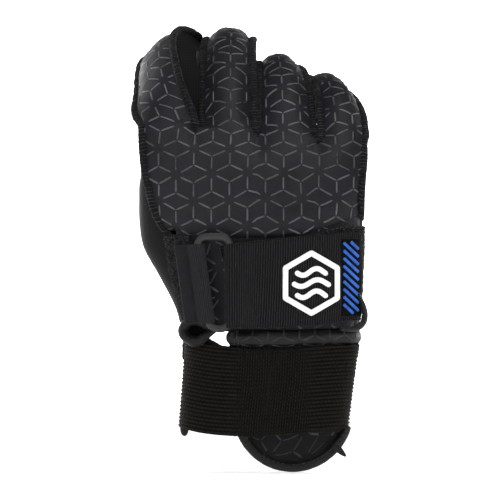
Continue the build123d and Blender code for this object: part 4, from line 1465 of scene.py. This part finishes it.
# ---------------------------------------------------------------- emblem and striped tab
def satin(points_xz, wide, high=0.55, lift=0.1, closed=False, pitch=0.42, blunt=0.45):
    """A satin-stitched line over the strap: a rounded ribbon with fine cross threads."""
    flat = np.array([(a, b, 0) for a, b in points_xz], float)
    if closed:
        flat = np.concatenate([flat, flat[:2]])
    line = resample(flat, pitch / 2)
    on = flap_point(line[:, 0], line[:, 1])
    normal = surface_normals(flap_point, line[:, 0], line[:, 1])
    on = on + normal * lift
    across = unit(np.cross(unit(np.gradient(on, axis=0)), normal))
    thread = 1 - 0.16 * (np.arange(len(on)) % 2)
    end = np.ones(len(on))
    if not closed:
        run = np.minimum(np.arange(len(on)), np.arange(len(on))[::-1]) * pitch / 2
        end = np.sqrt(np.clip(1 - (1 - np.clip(run / (wide * blunt), 0.03, 1)) ** 2, 0.04, 1))
    angles = np.linspace(0, math.pi, 9)
    shape = np.stack([np.cos(angles) * wide / 2, np.sin(angles) ** 0.7 * high], -1)
    shape = np.concatenate([shape, [[-wide / 2, -0.2], [wide / 2, -0.2]]])
    profile = shape[None] * np.stack([end, thread * np.maximum(end, 0.5)], -1)[:, None]
    return tube_part(tube_rings(on, across, normal, profile), 0)


EMBLEM = (18.7, 67.2)
SIZE = 13.4
sixths = [math.pi / 3 * k for k in range(6)]
corners = [(EMBLEM[0] + SIZE * math.sin(turn), EMBLEM[1] + SIZE * math.cos(turn)) for turn in sixths]
marks = [satin(corners, 2.5, closed=True)]
for level, reach in ((5.0, 7.2), (0.0, 8.6), (-5.0, 7.2)):
    t = np.linspace(-1, 1, 40)
    wave = [(EMBLEM[0] + reach * k, EMBLEM[1] + level + 1.5 * math.sin(k * math.pi * 1.15 + 0.4)) for k in t]
    marks.append(satin(wave, 2.3))
emblem = make_piece("strap_emblem_satin", marks, [WHITE])
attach(emblem, "strap")
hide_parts("strap_emblem")

TAB_LEFT, TAB_RIGHT, TAB_LOW, TAB_HIGH = 32.7, 40.0, 52.6, 86.8   # the striped end tab
x, z = grid_over((TAB_LEFT - 0.2, TAB_RIGHT + 0.3), TAB_LOW, TAB_HIGH, 60, 24)
backing = flap_point(x, z) + surface_normals(flap_point, x, z) * 0.3
stripes = [slab_part(backing, 0.8, 1)]
drop = (TAB_RIGHT - TAB_LEFT) * 0.95
for level in np.arange(TAB_LOW - 5.0, TAB_HIGH + drop, 3.45):
    spread = np.linspace(TAB_LEFT + 0.3, TAB_RIGHT - 0.3, 24)
    points = [(x, level + drop * (1 - (x - TAB_LEFT) / (TAB_RIGHT - TAB_LEFT))) for x in spread]
    points = [p for p in points if TAB_LOW + 0.9 < p[1] < TAB_HIGH - 0.9]
    if len(points) > 5:
        stripes.append(satin(points, 1.35, high=0.34, lift=0.35, pitch=0.36, blunt=0.14))
stripe_piece = make_piece("strap_end_stripes", stripes, [BLUE, WEBBING])
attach(stripe_piece, "strap")
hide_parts("strap_end_tab")


# ---------------------------------------------------------------- tongue
TONGUE_X, TONGUE_Z, TONGUE_R, BINDING_W = 10.2, 9.0, 26.6, 4.3


def tongue_point(x, z):
    x, z = np.broadcast_arrays(np.asarray(x, float), np.asarray(z, float))
    spot = around(x, np.clip(z, 0, 20), -1.0)
    spot[..., 2] = z
    spot[..., 1] += 0.10 * np.clip(-z, 0, 30)
    return spot


angle = np.linspace(math.pi + 0.05, 2 * math.pi - 0.05, 70)[None]
radius = np.linspace(0, 1, 30)[:, None]
inner = TONGUE_R - BINDING_W + 1.0
low_x = TONGUE_X + inner * np.cos(angle)
low_z = TONGUE_Z + inner * np.sin(angle)
x = low_x + 0 * radius
z = 8.0 + (low_z - 8.0) * (1 - radius)
tongue = tongue_point(x, z)
crown = np.sin(np.pi * np.clip((8 - z) / 26, 0, 1)) * (1 - ((x - TONGUE_X) / inner) ** 2).clip(0, 1)
tongue[..., 1] += 1.0 - 1.2 * crown
tongue_skin = skin_of(tongue)
# The tongue's print takes the darker copy of the print material: painted shade.
tongue_piece = make_piece("cuff_tongue_pad", [slab_part(tongue, 2.6)] + emboss_part(
    tongue_skin, (-5, 60), (-5, 40), origin=(7.0, 2.0)), [SMOOTH, PRINT_SHADED])
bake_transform(tongue_piece)
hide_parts("cuff_tongue")

angle = np.linspace(math.pi + 0.02, 2 * math.pi - 0.26, 130)
rim_radius = TONGUE_R - BINDING_W / 2
rim = tongue_point(TONGUE_X + rim_radius * np.cos(angle), TONGUE_Z + rim_radius * np.sin(angle))
rim[:, 1] += 0.7
tangent = unit(np.gradient(rim, axis=0))
normal = surface_normals(tongue_point, rim[:, 0], rim[:, 2])
across = unit(np.cross(tangent, normal))
sides = np.arange(20) * 2 * math.pi / 20
tape = np.stack([power(np.cos(sides), 0.7) * BINDING_W / 2,
                 power(np.sin(sides), 0.7) * 2.9], -1)
ripple = 1 + 0.025 * wobble(rim, 4, 9)
rings = tube_rings(rim, across, normal, tape[None] * ripple[:, None, None])
stitch_line = rim + normal * 2.75 + across * (-1.5 if across[60, 2] < 0 else 1.5)
binding_parts = [tube_part(rings)] + stitches(stitch_line, normal, 2.3, 1.6, 0.16, 1)
binding = make_piece("tongue_binding_tape", binding_parts, [BINDING, THREAD])
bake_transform(binding)
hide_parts("tongue_binding")
t = np.linspace(0, 1, 16)
tail = np.stack([29.0 + 5.2 * t, -12.0 - 0.6 * t, -5.6 - 5.0 * t], -1)
across, normal = frames_along(tail, (0, -1, 0))
rings = tube_rings(tail, across, normal, taper_profile(10, 2.0, 0.7, np.sqrt(1.02 - t)))
tail_piece = make_piece("binding_tail_tape", [tube_part(rings)], [BINDING])
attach(tail_piece, "tongue")
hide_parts("binding_tail")


# ---------------------------------------------------------------- thumb
THUMB_WIDE, THUMB_DEEP = 10.4, 9.6   # half sizes of the thumb
THUMB_CAP = 9.5                 # length of its rounded end
THUMB_CORNER = 0.86             # exponent of its section, below 1 for a fuller corner
THUMB_SEAM = 0.42               # sine of the angle at which its seams run
ROOT = np.array(JOINTS["thumb_swing"]["pos_m"]) / MM
THUMB_JOINT = np.array(JOINTS["thumb_curl"]["pos_m"]) / MM
THUMB_TIP = np.array([-43.0, 64.0, 95.0])
knots = np.array([ROOT + [7, -5, -3], ROOT + [4.5, 8, 3.0], (ROOT + THUMB_JOINT) / 2 + [1.5, 0, 0],
                  THUMB_JOINT + [-0.3, 0, 0.4],
                  (THUMB_JOINT + THUMB_TIP) / 2 + [0, 0, 0.3], THUMB_TIP, THUMB_TIP + [0.6, 6.6, 1.6]])
line = smooth_line(resample(knots, 0.9), 40)
run = lengths(line[:, None], 0)[:, 0]
total = run[-1]
tangent = unit(np.gradient(line, axis=0))
outward = unit(np.array([-1, -0.35, 0.25]))
outward = unit(outward - tangent * (tangent @ outward)[:, None])
across = np.cross(outward, tangent)
cap = np.sqrt(np.clip(1 - np.clip((run - total + THUMB_CAP) / THUMB_CAP, 0, 0.998) ** 2.3, 0, 1))
flare = 1 + 0.12 * ease(1 - run / 20)
half_wide = THUMB_WIDE * flare * cap * (1 - 0.06 * ease(run / total))
half_deep = THUMB_DEEP * flare * cap * (1 - 0.08 * ease(run / total))
angles = np.arange(40) * 2 * math.pi / 40
c, s = np.cos(angles), np.sin(angles)
round_x = power(c, THUMB_CORNER)
round_y = power(s, THUMB_CORNER)
rings = (line[:, None] + across[:, None] * (half_wide[:, None] * round_x[None])[..., None]
         + outward[:, None] * (half_deep[:, None] * round_y[None])[..., None])
joint_row = int(np.argmin(np.linalg.norm(line - THUMB_JOINT, axis=1)))
split = joint_row - 10


def digit_part(rings, cap_end):
    """Tube faces grouped by panel: smooth back, cloth sides and leather front."""
    count, sides = rings.shape[:2]
    parts = []
    faces = grid_faces(count, sides, closed=True)
    column = np.tile(np.arange(sides), count - 1)
    middle = (column + 0.5) % sides
    angle = middle * 2 * math.pi / sides
    level = np.sin(angle)
    points = rings.reshape(-1, 3)
    if cap_end:
        points = np.concatenate([points, rings[-1].mean(0)[None]])
    for slot, chosen in ((0, level > THUMB_SEAM), (1, np.abs(level) <= THUMB_SEAM), (2, level < -THUMB_SEAM)):
        parts.append((slot, faces[chosen]))
    merged, slots = [], []
    for slot, group in parts:
        merged += group.tolist()
        slots += [slot] * len(group)
    if cap_end:
        last, centre = (count - 1) * sides, len(points) - 1
        for k in range(sides):
            merged.append([last + k, last + (k + 1) % sides, centre])
            slots.append(0)
    return points, merged, slots


def digit_piece(name, rings, cap_end, whole):
    points, faces, slots = digit_part(rings, cap_end)
    mesh = bpy.data.meshes.new(name)
    mesh.from_pydata((points * MM).tolist(), [], faces)
    for mat in (SMOOTH, CLOTH, LEATHER):
        mesh.materials.append(mat)
    mesh.polygons.foreach_set("material_index", slots)
    mesh.polygons.foreach_set("use_smooth", [True] * len(faces))
    mesh.update()
    normals = np.concatenate([whole.reshape(-1, 3),
                              unit(rings[-1].mean(0) - rings[0].mean(0))[None]] if cap_end
                             else [whole.reshape(-1, 3)])
    mesh.normals_split_custom_set_from_vertices(normals.tolist())
    piece = bpy.data.objects.new(name, mesh)
    bpy.context.scene.collection.objects.link(piece)
    return piece


ring_normals = unit(np.cross(np.roll(rings, -1, 1) - np.roll(rings, 1, 1), np.gradient(rings, axis=0)))
if (ring_normals[5, 0] @ across[5]) < 0:
    ring_normals = -ring_normals
thumb_base = digit_piece("thumb_base_skin", rings[:split + 1], False, ring_normals[:split + 1])
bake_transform(thumb_base)
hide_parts("thumb_back", "thumb_palm", "thumb_sides")
thumb_tip = digit_piece("thumb_tip_skin", rings[split:], True, ring_normals[split:])
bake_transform(thumb_tip)
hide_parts("thumb_tip_back", "thumb_tip_palm", "thumb_tip_sides")


def thumb_edge(sign, first, last):
    angle = math.asin(THUMB_SEAM)
    wide = abs(math.cos(angle)) ** THUMB_CORNER * sign
    deep = math.sin(angle) ** THUMB_CORNER
    rows = slice(first, last)
    place = (line[rows] + across[rows] * (half_wide[rows] * wide)[:, None]
             + outward[rows] * (half_deep[rows] * deep)[:, None])
    lateral = unit(across[rows] * sign + outward[rows] * 0.45)
    return place + lateral * 0.8, lateral, outward[rows] * 1.0


for name, first, last, body in (("thumb_base_seam", 8, split + 1, "base"),
                                ("thumb_tip_seam", split, len(line) - 2, "tip")):
    one, two = thumb_edge(-1, first, last), thumb_edge(1, first, last)
    paths = [one, two] if body == "base" else [[np.concatenate([a, b[::-1]]) for a, b in zip(one, two)]]
    if body == "tip":
        paths = [[smooth_line(part, 3) for part in paths[0]]]
    seam = seam_piece(name, paths, 400 + first)
    if body == "base":
        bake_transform(seam)
    else:
        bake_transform(seam)


# ---------------------------------------------------------------- palm details
def palm_point(x, z):
    spot = hand_point(np.asarray(x, float), np.asarray(z, float), 1)
    spot[..., 1] += 1.6 * pad_swell(spot[..., 0], spot[..., 2])
    return spot


PATCH_GAP = 0.25
PATCH_CORNER = 0.32             # how much a patch's corners are drawn in


def patch_place(centre, half, u, v):
    """x and z on a patch at u and v, each from -1 to 1."""
    return (centre[0] + half[0] * u * np.sqrt(1 - PATCH_CORNER * v**4),
            centre[1] + half[1] * v * np.sqrt(1 - PATCH_CORNER * u**4))



def palm_patch(name, centre, half, node):
    """A raised patch sewn on the palm, with rounded corners and a row of stitches inside its edge."""
    x, z = patch_place(centre, half, *np.meshgrid(np.linspace(1, -1, 50), np.linspace(-1, 1, 40)))
    normal = -surface_normals(palm_point, x, z)
    grid = palm_point(x, z) + normal * (1.3 + PATCH_GAP)
    parts = [slab_part(grid, 1.2)]
    t = np.linspace(0, 2 * math.pi, 220)
    c, s = np.cos(t), np.sin(t)
    x, z = patch_place(centre, half, 0.93 * power(c, 0.25), 0.91 * power(s, 0.25))
    normal = -surface_normals(palm_point, x, z)
    parts += stitches(palm_point(x, z) + normal * (1.35 + PATCH_GAP), normal, 2.6, 1.7, 0.22, 1)
    piece = make_piece(name, parts, [GRIP, THREAD])
    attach(piece, "hand")
    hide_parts(node)


palm_patch("palm_overlay_patch", (4.0, 88.0), (29.0, 11.5), "palm_overlay")
palm_patch("palm_heel_overlay", (14.0, 61.5), (17.5, 10.0), "palm_heel_patch")


# ---------------------------------------------------------------- studio
def cyclorama():
    """A wide pale floor that curves up, far off, into a wall all round the glove."""
    floor, flat, radius = CAD_LOW[2] - 0.0005, 5.0, 1.5
    profile = [(0.00002, floor), (0.5, floor), (2.0, floor), (flat, floor)]
    for k in range(1, 13):
        angle = math.pi / 2 * k / 12
        profile.append((flat + radius * math.sin(angle), floor + radius * (1 - math.cos(angle))))
    turn = np.linspace(0, 2 * math.pi, 49)
    rows = np.array([[(r * math.cos(t), r * math.sin(t), z) for t in turn] for r, z in profile]) / MM
    return make_piece("studio_floor", [grid_part(rows)], [FLOOR])


floor_shader = FLOOR.node_tree.nodes["Principled BSDF"]
floor_shader.inputs["Emission Color"].default_value = (1, 1, 1, 1)
floor_shader.inputs["Emission Strength"].default_value = 0.62
cyclorama()

world = bpy.data.worlds.new("studio")
world.use_nodes = True
world.node_tree.nodes["Background"].inputs["Color"].default_value = (1, 1, 1, 1)
world.node_tree.nodes["Background"].inputs["Strength"].default_value = 0.05
bpy.context.scene.world = world
bpy.context.scene.view_settings.view_transform = "Standard"

CENTRE = np.array([-0.0088, 0.0, 0.082])


def lamp(name, place, size, power):
    data = bpy.data.lights.new(name, "AREA")
    data.shape, data.size, data.size_y, data.energy = "RECTANGLE", size[0], size[1], power
    piece = bpy.data.objects.new(name, data)
    bpy.context.scene.collection.objects.link(piece)
    piece.location = place
    direction = CENTRE - np.array(place)
    piece.rotation_euler = Vector(direction).to_track_quat("-Z", "Y").to_euler()
    return piece


lamp("key", (-0.55, -1.0, 0.9), (0.35, 0.25), 5.9)
lamp("top", (0.25, -0.25, 1.2), (0.7, 0.4), 6.8)
lamp("fill", (0.95, -0.8, 0.3), (0.4, 0.7), 1.3)
lamp("back_left", (-0.9, 0.75, 0.6), (0.5, 0.7), 2.5)
for number in range(6):
    angle = math.pi / 3 * (number + 0.5)
    power = 420 if number < 3 else 60
    wash = lamp(f"wall_wash_{number}", (2.6 * math.cos(angle), 2.6 * math.sin(angle), 2.2), (2.4, 0.8), power)
    wash.rotation_euler = (math.radians(58), 0, angle - math.pi / 2)

CAMERA_DISTANCE, CAMERA_LENS = 4.0, 640
camera = bpy.data.cameras.new("camera")
camera.sensor_width, camera.lens = 36, CAMERA_LENS
camera.clip_end = 50
view = bpy.data.objects.new("camera", camera)
bpy.context.scene.collection.objects.link(view)
view.location = (CENTRE[0], -CAMERA_DISTANCE, CENTRE[2])
view.rotation_euler = (math.pi / 2, 0, 0)
bpy.context.scene.camera = view
